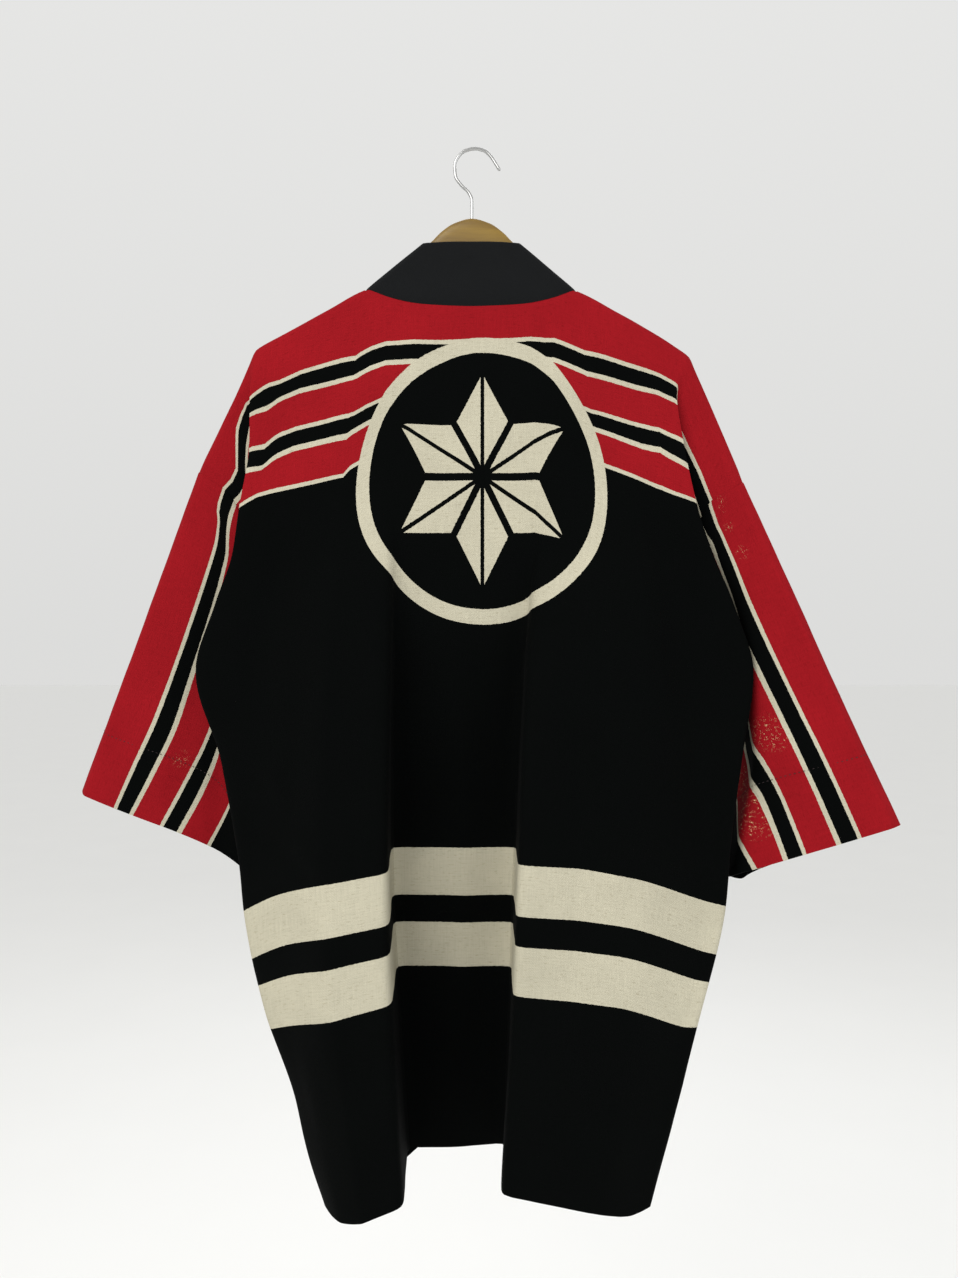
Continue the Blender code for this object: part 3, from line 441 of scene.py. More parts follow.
# Where the stripes lie on the sleeves: the distance from the armhole, then the distances below
# the top fold at which the middles of the five cream stripes lie
CREAM_MIDDLES = (50.4, 69.6, 105.8, 123.7, 157.9)
LEFT_SLEEVE_MARKS = [
    (0, 30.4, 48.2, 89.6, 107.5, 141.5), (15, 32, 47.5, 96, 115, 150), (30, 38, 49.5, 98, 117, 153),
    (60, 42.5, 57.5, 100, 119, 153), (200, 46, 64, 99.5, 116, 150), (240, 45.5, 65.5, 98.5, 114, 148),
    (290, 41.9, 61.5, 93.6, 111.7, 142.8), (337, 39.2, 56, 87.6, 105.8, 137.3),
]
RIGHT_SLEEVE_MARKS = [
    (0, 36.8, 56, 92, 108, 139), (20, 37, 51.5, 93, 110, 141), (35, 36.2, 48.5, 93, 110, 142),
    (65, 36, 50, 90.6, 107, 138), (100, 37, 52, 89, 106, 139), (150, 37.7, 54.5, 89, 110, 150),
    (225, 36.2, 53.6, 88.5, 115, 165), (255, 35.2, 53.2, 83.2, 105, 158),
    (285, 34.9, 53.2, 81.7, 98.2, 143), (312, 35.2, 53.7, 82.7, 99.1, 131),
    (337, 35.6, 54.3, 84.2, 101, 128),
]

# Ring on the back, and the six-leaf star inside it
RING_X = 7.0
RING_V = 187.5
RING_RADIUS = 140.0
RING_HALF_WIDTH = 119.5
RING_BAND = 14.5
STAR_RADIUS = 106.0
STAR_GAP = 4.2
STAR_VEIN = 2.1
LEAF_SLOPE = 0.577
HALF_LEAF = math.pi / 6

# How far across the printed places of the other pieces begin, clear of the ring
FRONT_SHIFT = 1000.0
SLEEVE_SHIFT = 2000.0

# Worn patches of the sleeves. The columns are along, v, reach and how strongly they show.
LEFT_FLECKS = [(270, 90, 11, 1.0)]
RIGHT_FLECKS = [
    (258, 138, 20, 2.2), (294, 138, 24, 2.6), (232, 86, 20, 1.8), (10, 36, 8, 1.2), (30, 38, 8, 1.2),
    (62, 36, 10, 1.2),
]
FLECK_WIDTH = 0.008
FLECK_STOPS = [(0.52, (0, 0, 0, 1)), (0.56, (1, 1, 1, 1))]
SLUB_STOPS = [(0.28, (0.78, 0.76, 0.72, 1)), (0.42, (1, 1, 1, 1))]
FADE_STOPS = [(0.3, (0.92, 0.92, 0.92, 1)), (0.7, (1.04, 1.04, 1.04, 1))]
THREAD_STOPS = [(0.3, (0.90, 0.90, 0.90, 1)), (0.7, (1.05, 1.05, 1.05, 1))]

# Sewing: pitch of a stitch, where it starts in the pitch and how much of it it takes, its lift off
# the cloth, and the cuff's hem. The columns of a section are share, radius and lift.
STITCH_PITCH = 4.2
STITCH_START = 0.15
STITCH_SHARE = 0.45
STITCH_LIFT = 0.75
STITCH_SIDES = 6
STITCH_SECTIONS = [
    (0.0, 0.16, -0.15), (0.2, 0.28, 0.05), (0.5, 0.32, 0.12), (0.8, 0.28, 0.05), (1.0, 0.16, -0.15),
]
CUFF_HEM = 66.0

# Lights: name, place and size in metres, power and colour. All face the same place.
LIGHTS = [
    ("key", (-1.5, -2.2, 1.1), 2.2, 58.0, (1.0, 0.99, 0.97)),
    ("fill", (2.2, -1.9, 0.2), 2.4, 22.0, (0.96, 0.98, 1.0)),
    ("rim", (0.4, 2.2, 1.2), 2.2, 25.0, (1.0, 1.0, 1.0)),
]
LIGHT_TARGET = (0, 0, -0.5)
WORLD_STOPS = [(0.0, (0.72, 0.72, 0.71, 1.0)), (0.9, (0.84, 0.84, 0.83, 1.0))]
WORLD_STRENGTH = 1.0

# Threads of the canvas: their pitch, how little they change along themselves, and how much of
# the weave's height is in its crossings
THREAD_PITCH = 1.1
THREAD_STRETCH = 0.05
CROSSING_HEIGHT = 0.22
SLUB_STRETCH = 0.25

# Colours, each with the alpha last
COLOURS = {
    "red": (0.275, 0.0075, 0.012, 1.0),
    "cream": (0.49, 0.46, 0.352, 1.0),
    "black": (0.0012, 0.0016, 0.0015, 1.0),
    "collar": (0.0044, 0.0050, 0.0056, 1.0),
    "stitch": (0.016, 0.006, 0.007, 1.0),
    "wood": (0.215, 0.127, 0.012, 1.0),
    "grain": (0.150, 0.083, 0.007, 1.0),
    "wire": (0.52, 0.52, 0.51, 1.0),
    "floor": (0.87, 0.87, 0.86, 1.0),
    "floor_worn": (0.85, 0.85, 0.84, 1.0),
    "wire_dark": (0.40, 0.40, 0.40, 1.0),
    "thread_light": (0.02, 0.009, 0.01, 1.0),
    "worn": (0.80, 0.66, 0.36, 1.0),
}
GRAIN_STOPS = [(0.3, COLOURS["grain"]), (0.62, COLOURS["wood"])]
GRAIN_STRETCH = (6.0, 90.0, 60.0)

# Surface of each material, by the names of the shader's values
SURFACES = {
    "printed": {"Roughness": 0.86, "Sheen Weight": 0.004, "Sheen Roughness": 0.5, "Specular IOR Level": 0.03},
    "plain": {"Roughness": 0.84, "Sheen Weight": 0.02, "Specular IOR Level": 0.12},
    "thread": {"Roughness": 0.7},
    "wood": {"Roughness": 0.38, "Coat Weight": 0.08, "Coat Roughness": 0.2},
    "wire": {"Roughness": 0.16, "Metallic": 1.0},
    "floor": {"Roughness": 0.9},
}

# Bumps: height in metres and strength
BUMPS = {"canvas": (0.00045, 0.6), "twist": (0.0001, 1.0), "grain": (0.0002, 0.5), "marks": (0.00003, 0.5)}

# Soft noises: scale, detail and roughness. On cloth the scale is for a millimetre, else for a metre.
NOISES = {
    "drift": (0.11, 1.0, 0.5), "thread": (0.9, 1.0, 0.5), "wobble": (0.35, 3.0, 0.5),
    "scratch": (0.42, 1.0, 0.5), "broken": (0.3, 1.0, 0.5), "slub": (0.7, 2.0, 0.6),
    "fade": (0.012, 3.0, 0.5), "plain_fade": (0.02, 3.0, 0.5), "twist": (2600.0, 1.0, 0.5),
    "grain": (2.2, 6.0, 0.6), "marks": (900.0, 2.0, 0.5), "floor": (3.0, 2.0, 0.5),
}

# Sockets of a Mix node for its share and its two colours, and for the mixed colour
MIX_INPUTS = (0, 6, 7)
MIX_OUTPUT = 2


# Curves through a few points

def read_curve(places, values, at):
    """Points at distances along a smooth curve that keeps between its neighbours."""
    places = np.asarray(places, dtype=float)
    values = np.asarray(values, dtype=float)
    at = np.clip(np.asarray(at, dtype=float), places[0], places[-1])
    steps = np.diff(values, axis=0) / np.diff(places)[:, None]
    product = steps[:-1] * steps[1:]
    total = np.where(product > 0, steps[:-1] + steps[1:], 1.0)
    inner = np.where(product > 0, 2 * product / total, 0.0)
    slopes = np.concatenate([steps[:1], inner, steps[-1:]])
    k = np.clip(np.searchsorted(places, at, side="right") - 1, 0, len(places) - 2)
    span = (places[k + 1] - places[k])[:, None]
    t = (at - places[k])[:, None] / span
    from_start = (1 + 2 * t) * (1 - t) ** 2 * values[k] + t * (1 - t) ** 2 * span * slopes[k]
    from_end = t * t * (3 - 2 * t) * values[k + 1] + t * t * (t - 1) * span * slopes[k + 1]
    return from_start + from_end


def read_lines(rows, at):
    """What a table's other columns say at values of its first column."""
    table = np.array(rows, dtype=float)
    return read_curve(table[:, 0], table[:, 1:], at)


def read_line(rows, place):
    """Point (x, y, z) of a line at a distance along it."""
    return read_lines(rows, [place])[0]


def ease(value, low, high):
    """0 below low, 1 above high, and a soft step between."""
    t = min(max((value - low) / (high - low), 0.0), 1.0)
    return t * t * (3 - 2 * t)


def distances(points):
    """Distance of each point along its own run."""
    steps = np.linalg.norm(np.diff(points, axis=0), axis=1)
    return np.concatenate([[0.0], np.cumsum(steps)])


def finer(run, counts):
    """The same run with each of its stretches cut into a number of short ones."""
    run = np.array(run)
    places = distances(run)
    at = [places[:1]]
    for start, end, count in zip(places, places[1:], counts):
        at.append(np.linspace(start, end, count + 1)[1:])
    return read_curve(places, run, np.concatenate(at))


def smooth_line(rows, count):
    """Points close together on a smooth line through places x, z, and their distances along it."""
    run = np.array([(x, 0.0, z) for x, z in rows])
    places = distances(run)
    at = np.linspace(0, places[-1], count)
    return read_curve(places, run, at), at


def over_shoulder(ridge, below, v):
    """Point between the top row and the row below the shoulder's round, on its quarter turn."""
    reached = min(max(ridge[1] / below[1], 0.0), MOST_REACHED) if ridge[1] * below[1] > 0 else 0.0
    first = math.asin(reached)
    turn = first + (0.5 * math.pi - first) * v / SHOULDER_ROUND
    drop = 1 - math.cos(turn) / math.cos(first)
    side = (math.sin(turn) - reached) / (1 - reached)
    return ridge + (below - ridge) * np.array([drop, side, drop])


def rounded_run(points, corners):
    """Run through the points, each corner rounded with a short curve of three points."""
    run = [points[0]]
    for i in range(1, len(points) - 1):
        before = points[i - 1] - points[i]
        after = points[i + 1] - points[i]
        room = CORNER_SHARE * min(np.linalg.norm(before), np.linalg.norm(after))
        trim = min(corners[i], room)
        enter = points[i] + before / np.linalg.norm(before) * trim
        leave = points[i] + after / np.linalg.norm(after) * trim
        run += [enter, 0.5 * (points[i] + 0.5 * (enter + leave)), leave]
    run.append(points[-1])
    return run


def corner_column(fold):
    """Column of a row's points that lies on a fold, in the middle of its rounded corner."""
    return CORNER_POINTS * fold - 1


# Walls

def grid_ways(grid, axis):
    """Directions along one axis of a grid, halfway between the steps that meet at each point."""
    steps = np.diff(grid, axis=axis)
    steps /= np.maximum(np.linalg.norm(steps, axis=2, keepdims=True), LEAST_STEP)
    first = steps.take([0], axis=axis)
    last = steps.take([-1], axis=axis)
    return np.concatenate([first, steps], axis=axis) + np.concatenate([steps, last], axis=axis)


def unit(directions):
    """The same directions, each one long."""
    return directions / np.linalg.norm(directions, axis=-1, keepdims=True)


def grid_normals(grid):
    """Unit normals of a grid of points."""
    return unit(np.cross(grid_ways(grid, 0), grid_ways(grid, 1)))


def square_off(normals, directions):
    """Take the part along each direction out of the normals at an edge."""
    directions = unit(directions)
    return unit(normals - directions * np.sum(normals * directions, axis=-1, keepdims=True))


def add_quads(faces, first, rows, columns, closed, turned):
    """Faces over a grid of vertices that starts at a vertex number."""
    for r in range(rows - 1):
        for c in range(columns if closed else columns - 1):
            d = (c + 1) % columns
            face = [first + r * columns + c, first + r * columns + d,
                    first + (r + 1) * columns + d, first + (r + 1) * columns + c]
            faces.append(face[::-1] if turned else face)


def rim_loops(rows, columns, closed):
    """Grid places round each open edge, in the order that faces run."""
    if closed:
        return [[(r, c % columns) for c in range(columns + 1)] for r in (0, rows - 1)]
    top = [(0, c) for c in range(columns)]
    right = [(r, columns - 1) for r in range(1, rows)]
    bottom = [(rows - 1, c) for c in range(columns - 2, -1, -1)]
    left = [(r, 0) for r in range(rows - 2, -1, -1)]
    return [top + right + bottom + left]


def cloth_object(name, grid, normals, heights, wall, places, closed=False):
    """A closed wall about a raised grid of points that carries its places on the flat cloth."""
    rows, columns = grid.shape[:2]
    count = rows * columns
    raised = grid + normals * heights[:, :, None]
    half = normals * (np.broadcast_to(wall, (rows, columns)) / 2)[:, :, None]
    points = np.concatenate([(raised + half).reshape(-1, 3), (raised - half).reshape(-1, 3)])
    faces = []
    add_quads(faces, 0, rows, columns, closed, False)
    add_quads(faces, count, rows, columns, closed, True)
    for rim in rim_loops(rows, columns, closed):
        for (r0, c0), (r1, c1) in zip(rim, rim[1:]):
            near, far = r0 * columns + c0, r1 * columns + c1
            faces.append([far, near, count + near, count + far])
    data = bpy.data.meshes.new(name)
    data.from_pydata((points * MM).tolist(), [], faces)
    mesh = bmesh.new()
    mesh.from_mesh(data)
    bmesh.ops.recalc_face_normals(mesh, faces=mesh.faces)
    mesh.to_mesh(data)
    mesh.free()
    flat = np.stack(np.broadcast_arrays(*places), axis=2).reshape(-1, 3)
    attribute = data.attributes.new("cloth", "FLOAT_VECTOR", "POINT")
    attribute.data.foreach_set("vector", np.concatenate([flat, flat]).ravel().astype(np.float32))
    return add_object(name, data, CLOTH_SHARP)


def add_object(name, data, sharp):
    """Put a mesh in the scene as a smooth piece that rides on the body."""
    data.shade_smooth()
    data.set_sharp_from_angle(angle=math.radians(sharp))
    made = bpy.data.objects.new(name, data)
    bpy.context.collection.objects.link(made)
    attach(made, BODY)
    return made


# Creases and seams

def crease_heights(grid, creases):
    """Height of the soft creases at each point of a grid."""
    heights = np.zeros(grid.shape[:2])
    for x0, z0, x1, z1, width, height in creases:
        along = np.array([x1 - x0, z1 - z0], dtype=float)
        off = grid[:, :, [0, 2]] - np.array([x0, z0])
        t = off @ along / (along @ along)
        bend = CREASE_SWAY * width * np.sin(CREASE_BENDS * t + CREASE_PHASE * x0)
        side = (off[:, :, 0] * along[1] - off[:, :, 1] * along[0]) / np.linalg.norm(along) + bend
        beyond = 0.5 * CREASE_FADE
        fade = (np.clip(t + beyond, 0, CREASE_FADE) * np.clip(1 + beyond - t, 0, CREASE_FADE)
                / CREASE_FADE ** 2)
        heights += height * fade * fade * (3 - 2 * fade) * np.exp(-(side / width) ** 2)
    return heights


def ripple(u, v):
    """Slight unevenness of hung cotton, in millimetres."""
    return sum(height * np.sin(u / wide + sway * np.sin(v / wide_sway))
               * np.sin(v / tall + lean * np.sin(u / tall_sway))
               for height, wide, sway, wide_sway, tall, lean, tall_sway in RIPPLES)


def calm(reach, width):
    """0 at a seam, rising to 1 away from it, where creases and ripples may show."""
    return 1 - np.exp(-(reach / width) ** 2)


def seam_dip(reach):
    """How far cloth sinks beside a seam, by its distance from the seam."""
    return -SEAM_DIP * np.exp(-(reach / SEAM_REACH) ** 2)


def seam_directions(points):
    """Directions across a seam line, in the X-Z plane."""
    along = np.gradient(points, axis=0)
    along[:, 1] = 0
    return np.cross(along, FRONTWARD)


# Armhole and side seam, shared by back, fronts and sleeves

def armhole_half_gap(v):
    """Half the distance between the back and front layers where they meet a sleeve."""
    opened = ARMHOLE_HALF_GAP * math.sin(0.5 * math.pi * min(v / SHOULDER_ROUND, 1.0))
    closing = ease(v, *UNDERARM_CLOSES)
    return opened + (UNDERARM_HALF_GAP - opened) * closing


def seam_half_gap(v):
    """Half the distance between the body's layers down the whole side."""
    return armhole_half_gap(v) + (SIDE_HALF_GAP - UNDERARM_HALF_GAP) * ease(v, *SIDE_CLOSES)


def side_point(lines, v, way):
    """Edge of the back (way -1) or of a front (way 1) at its side."""
    return read_line(lines["side"], v) + way * seam_half_gap(v) * FRONTWARD


def steps_down(length, step):
    """Distances down the cloth from the shoulder fold, closer together round the shoulder."""
    count = round((length - SHOULDER_ROUND) / step)
    shoulder = np.arange(0.0, SHOULDER_ROUND, SHOULDER_STEP)
    return np.concatenate([shoulder, np.linspace(SHOULDER_ROUND, length, count + 1)])


# Back

def fold_point(lines, name, v):
    """Point of one of the back's folds, v below the shoulder fold or the neck's edge."""
    if name == "side":
        return side_point(lines, v, -1)
    if name == "edge_behind":
        edge = read_line(lines["edge"], v)
        start = edge + EDGE_START * (read_line(lines["tuck"], v) - edge)
        turned = edge + np.array(EDGE_TURN)
        return start + (turned - start) * min(v / SETTLED, 1.0)
    if name in NECK_SHARES:
        neck = read_line(lines["neck"], v)
        crest = fold_point(lines, "crest", v)
        point = neck + (crest - neck) * NECK_SHARES[name]
        if v == 0:
            point[1] = -SHOULDER_ROUND
        return point
    line = lines[name]
    start = line[0][0]
    return read_line(line, start + (BODY_LENGTH - start) * v / BODY_LENGTH)


def back_folds():
    """Fold names and their lines, from the left side to the right side."""
    left = [(name, LEFT_LINES) for name in LEFT_SIDE_FOLDS + NECK_FOLDS]
    right = [(name, RIGHT_LINES) for name in RIGHT_SIDE_FOLDS + NECK_FOLDS]
    return left + [("centre", {"centre": CENTRE_LINE})] + right[::-1]


def back_row(v):
    """One row of the back, from side to side."""
    if 0 < v < SHOULDER_ROUND:
        ends = zip(back_row(0), back_row(SHOULDER_ROUND))
        return [over_shoulder(ridge, below, v) for ridge, below in ends]
    folds = back_folds()
    points = [fold_point(lines, name, v) for name, lines in folds]
    corners = [NECK_CORNER if name == "neck" and v == 0 else CORNERS[name] for name, lines in folds]
    return rounded_run(points, corners)


def neck_columns():
    """Columns of the back's row that lie at the two ends of the neck's edge."""
    last = len(back_folds()) - len(RIGHT_SIDE_FOLDS) - 1
    return corner_column(len(LEFT_SIDE_FOLDS)), corner_column(last)


def neck_rungs():
    """Seam points and free points of the collar band along the neck's edge."""
    first, last = neck_columns()
    free = [np.array(point, dtype=float) for point in COLLAR_TOP_EDGE]
    names = ["side"] + NECK_FOLDS + ["centre"] + NECK_FOLDS[::-1] + ["side"]
    corners = [NECK_CORNER if name == "neck" else CORNERS[name] for name in names]
    end = corner_column(1)
    return back_row(0)[first:last + 1], rounded_run(free, corners)[end:-end]


def column_counts(run):
    """How many short columns each stretch of a row is cut into."""
    return [max(1, round(step / COLUMN_STEP)) for step in np.diff(distances(np.array(run)))]


def fold_columns(counts):
    """Column of each fold in the back's grid."""
    columns = np.concatenate([[0], np.cumsum(counts)])
    return columns[[min(max(corner_column(i), 0), len(counts)) for i in range(len(back_folds()))]]


def fold_starts(columns, u):
    """How far below the shoulder line each point of the back begins, where the neck is cut away."""
    starts = []
    for name, lines in back_folds():
        if name in NECK_SHARES:
            starts.append(NECK_SHARES[name] * lines["crest"][0][0])
        else:
            starts.append(lines[name][0][0] if name in lines else 0.0)
    return np.array([np.interp(row, row[columns], starts) for row in u])


def print_shifts(columns, u, rows):
    """How much further down the print lies than the cloth, at each point of the back."""
    left = [(LEFT_SHIFTS, name) for name in LEFT_SIDE_FOLDS + NECK_FOLDS + ["centre"]]
    right = [(RIGHT_SHIFTS, name) for name in RIGHT_SIDE_FOLDS + NECK_FOLDS]
    keys = left + right[::-1]
    places = [u[:, column] for column in columns]
    for shifts, folds, way in ((LEFT_SHIFTS, LEFT_SIDE_FOLDS, 1), (RIGHT_SHIFTS, RIGHT_SIDE_FOLDS, -1)):
        at = dict(zip(folds, columns[::way]))
        for name, (outer, inner, share) in PANEL_PLACES.items():
            if name in shifts:
                places.append(u[:, at[outer]] * (1 - share) + u[:, at[inner]] * share)
                keys.append((shifts, name))
    values = [read_curve(SHIFT_ROWS, np.array(shifts[name])[:, None], rows)[:, 0]
              for shifts, name in keys]
    found = []
    for row, at, value in zip(u, np.array(places).T, np.array(values).T):
        order = np.argsort(at)
        found.append(np.interp(row, at[order], value[order]))
    return np.array(found)


def make_back():
    """The back: one wide panel from neck and shoulders to the hem."""
    rows = steps_down(BODY_LENGTH, ROW_STEP)
    counts = column_counts(back_row(LAID_ROW))
    grid = np.array([finer(back_row(v), counts) for v in rows])
    columns = fold_columns(counts)
    first_fold = len(LEFT_SIDE_FOLDS)
    middle = columns[first_fold + len(NECK_FOLDS)]
    neck = slice(columns[first_fold], columns[-len(RIGHT_SIDE_FOLDS) - 1] + 1)
    u = np.array([distances(row) for row in grid])
    u += (grid[:, middle, 0] - u[:, middle])[:, None]
    begins = fold_starts(columns, u)
    v = begins + (BODY_LENGTH - begins) * rows[:, None] / BODY_LENGTH + print_shifts(columns, u, rows)
    normals = grid_normals(grid)
    normals *= -np.sign(normals[:, :, 1].sum())
    seams, frees = neck_rungs()
    rungs = finer(np.array(frees) - np.array(seams), counts[slice(*neck_columns())])
    normals[0, neck] = square_off(normals[0, neck], rungs)
    for shoulder in (slice(0, neck.start), slice(neck.stop, None)):
        normals[0, shoulder] = square_off(normals[0, shoulder], FRONTWARD)
    for column in (0, -1):
        normals[:, column] = square_off(normals[:, column], seam_directions(grid[:, column]))
    reach = np.minimum(u - u[:, :1], u[:, -1:] - u)
    still = calm(np.minimum(reach, rows[:, None] + SHOULDER_STILL), BACK_STILL)
    heights = still * (crease_heights(grid, BACK_CREASES) + ripple(u, v)) + seam_dip(reach)
    heights[:, neck] += seam_dip(rows[:, None])
    return cloth_object("back_cloth", grid, normals, heights, CLOTH_WALL, (u, v, 0.0))


# Fronts

def front_row(lines, fronts, names, ridge, v):
    """One row of a front, from its side to the edge that the collar band closes."""
    side = side_point(lines, v, 1)
    outer, inner, edge = [read_line(line, v) for line in fronts]
    places = {name: side + share * (outer - side) for name, share in FRONT_SHARES.items()}
    places["hollow"] = inner
    places["swell"] = 0.5 * (inner + edge)
    points = [places[name] for name in names] + [edge]
    corners = [HOLLOW_CORNER if name == "hollow" else FRONT_CORNER for name in names] + [0]
    hanging = rounded_run(points, corners)
    row = []
    corner = ridge[corner_column(names.index("edge"))]
    whole = (ridge[0] - corner) @ (ridge[0] - corner)
    for i in range(len(ridge)):
        share = max((ridge[i] - corner) @ (ridge[0] - corner), 0.0) / whole
        straight = np.array([0.0, SHOULDER_ROUND, -v]) * (1 - share)
        under = ridge[i] + straight + (side - ridge[0]) * share
        row.append(under + (hanging[i] - under) * ease(v, SHOULDER_ROUND, FRONT_HANGS))
    row[-1] = edge
    return row


def make_front(name, lines, fronts, names, ridge, turn):
    """One front panel, on the back's own shoulder line."""
    below = front_row(lines, fronts, names, ridge, SHOULDER_ROUND)
    rows = steps_down(BODY_LENGTH, ROW_STEP)
    counts = column_counts(front_row(lines, fronts, names, ridge, LAID_ROW))
    runs = []
    for v in rows:
        if v < SHOULDER_ROUND:
            run = [over_shoulder(top, under, v) for top, under in zip(ridge, below)]
        else:
            run = front_row(lines, fronts, names, ridge, v)
        runs.append(finer(run, counts))
    grid = np.array(runs)
    u = np.array([distances(row) for row in grid])
    v = np.broadcast_to(rows[:, None], u.shape)
    normals = grid_normals(grid)
    normals *= np.sign(normals[:, :, 1].sum())
    normals[0] = square_off(normals[0], FRONTWARD)
    normals[:, 0] = square_off(normals[:, 0], seam_directions(grid[:, 0]))
    normals[:, -1] = square_off(normals[:, -1], np.array([collar_span(place, turn) for place in rows]))
    reach = np.minimum(u, u[:, -1:] - u)
    raised = crease_heights(grid, FRONT_CREASES) + ripple(u + FRONT_RIPPLE_START * turn, v)
    heights = calm(np.minimum(reach, v), FRONT_STILL) * raised + seam_dip(reach)
    return cloth_object(name, grid, normals, heights, CLOTH_WALL, (u + FRONT_SHIFT, v, 0.0))


def make_fronts():
    """Both fronts, each from the shoulder points that it shares with the back."""
    row = back_row(0)
    left_ridge = row[:corner_column(len(LEFT_SIDE_FOLDS)) - 1] + [read_line(LEFT_NECK, 0)]
    right_ridge = row[::-1][:corner_column(len(RIGHT_SIDE_FOLDS)) - 1] + [read_line(RIGHT_NECK, 0)]
    left = make_front("front_left_cloth", LEFT_LINES, LEFT_FRONT, LEFT_SIDE_FOLDS, left_ridge, 1)
    right = make_front("front_right_cloth", RIGHT_LINES, RIGHT_FRONT, RIGHT_SIDE_FOLDS, right_ridge, -1)
    return left, right


# Sleeves

def sleeve_middle(lines, side, along, steps):
    """Points halfway between a sleeve's two layers, from its top fold to its under fold."""
    stations = np.array([read_line(line, along) for line in lines])
    lengths = distances(stations)
    free = read_curve(lengths, stations, steps / ARMHOLE_DEPTH * lengths[-1])
    seated = 1 - ease(along, 0, ARMHOLE_BLEND)
    return free + (read_lines(side, steps) - free) * seated


def print_places(marks, rows, depth):
    """Distance down the print at each point of a sleeve's layer."""
    middles = np.array((0.0,) + CREAM_MIDDLES + (ARMHOLE_DEPTH,))[:, None]
    found = []
    for row, station in zip(depth, read_lines(marks, rows)):
        found.append(read_curve(np.concatenate([[0.0], station, row[-1:]]), middles, row)[:, 0])
    return np.array(found)


def make_sleeve(name, lines, side, creases, marks):
    """A square open sleeve, folded at its top."""
    rows = np.linspace(0, SLEEVE_LENGTH, round(SLEEVE_LENGTH / COLUMN_STEP) + 1)
    steps = steps_down(ARMHOLE_DEPTH, COLUMN_STEP)
    middle = np.array([sleeve_middle(lines, side, along, steps) for along in rows])
    depth = np.array([distances(points) for points in middle])
    seated = np.array([1 - ease(along, 0, ARMHOLE_BLEND) for along in rows])[:, None, None]
    backward = grid_normals(middle)
    backward *= np.sign(backward[:, :, 1].sum())
    backward += (FRONTWARD - backward) * seated
    opened = 1 + (CUFF_HALF_GAP / ARMHOLE_HALF_GAP - 1) * rows / SLEEVE_LENGTH
    gaps = opened[:, None] * np.array([armhole_half_gap(v) for v in steps])[None, :]
    reach = backward * gaps[:, :, None]
    directions = unit(seam_directions(middle[0]))
    grid = np.concatenate([middle - reach, (middle + reach)[:, :0:-1]], axis=1)
    directions = np.concatenate([directions, directions[:0:-1]])
    wrapped = np.concatenate([grid[:, -1:], grid, grid[:, :1]], axis=1)
    normals = grid_normals(wrapped)[:, 1:-1]
    normals *= np.sign(np.sum(normals[:, 1:len(steps) - 1] * -backward[:, 1:-1]))
    normals[0] = square_off(normals[0], directions)
    printed = print_places(marks, rows, depth)
    eased = np.array([ease(along, 0, SLEEVE_EASE) for along in rows])[:, None]
    front = steps[None, :] + (printed - steps[None, :]) * eased
    v = np.concatenate([printed, front[:, :0:-1]], axis=1)
    along = np.broadcast_to(rows[:, None], v.shape)
    raised = crease_heights(grid, creases) + SLEEVE_RIPPLE * ripple(along + SLEEVE_RIPPLE_START, v)
    heights = calm(along, SLEEVE_STILL) * raised + seam_dip(along)
    places = (along + SLEEVE_SHIFT, v, along)
    return cloth_object(name, grid, normals, heights, CLOTH_WALL, places, closed=True), grid, normals, rows


# Collar band

def collar_span(v, turn):
    """Way from the band's seam on a front to its free edge."""
    return read_line(COLLAR_SPAN, v) * np.array([turn, 1, 1])


def front_rungs(edge, turn):
    """Seam points and free points of the band down one front, from the neck to the hem."""
    seams, frees = [], []
    for v in steps_down(BODY_LENGTH, ROW_STEP)[1:]:
        if v < SHOULDER_ROUND:
            seams.append(over_shoulder(read_line(edge, 0), read_line(edge, SHOULDER_ROUND), v))
        else:
            seams.append(read_line(edge, v))
        frees.append(seams[-1] + collar_span(v, turn))
    return seams, frees


def make_collar():
    """One long band of doubled cloth, round the back of the neck and down both front edges."""
    runs = []
    counts = column_counts(neck_rungs()[0])
    for left, middle, right in zip(front_rungs(LEFT_FRONT[-1], 1), neck_rungs(),
                                   front_rungs(RIGHT_FRONT[-1], -1)):
        runs.append(np.array(left[::-1] + list(finer(middle, counts)) + right))
    seams, across = runs[0], runs[1] - runs[0]
    shares = np.array(COLLAR_SHARES)
    grid = seams[:, None, :] + across[:, None, :] * shares[None, :, None]
    normals = grid_normals(grid)
    normals *= -np.sign(normals[len(grid) // 2, len(shares) // 2, 1])
    normals[:, 0] = square_off(normals[:, 0], across)
    u = np.linalg.norm(across, axis=1)[:, None] * shares[None, :]
    v = np.broadcast_to(distances(seams)[:, None], u.shape)
    raised = COLLAR_RIPPLE * ripple(u + COLLAR_RIPPLE_START, v) * (u > COLLAR_STILL)
    heights = crease_heights(grid, COLLAR_CREASES) + raised + seam_dip(u)
    wall = COLLAR_WALL * (COLLAR_THIN + (1 - COLLAR_THIN) * np.sin(np.pi * shares) ** 0.5)
    wall[-len(COLLAR_FOLD):] = COLLAR_WALL * np.array(COLLAR_FOLD)
    return cloth_object("collar_cloth", grid, normals, heights, wall[None, :], (u, v, 0.0))


# Round solids: stitches, hanger and hook

def round_ring(middle, across, up, size, sides):
    """Points of a circle about a middle."""
    turns = 2 * np.pi * np.arange(sides) / sides
    return [middle + (across * math.cos(turn) + up * math.sin(turn)) * size for turn in turns]


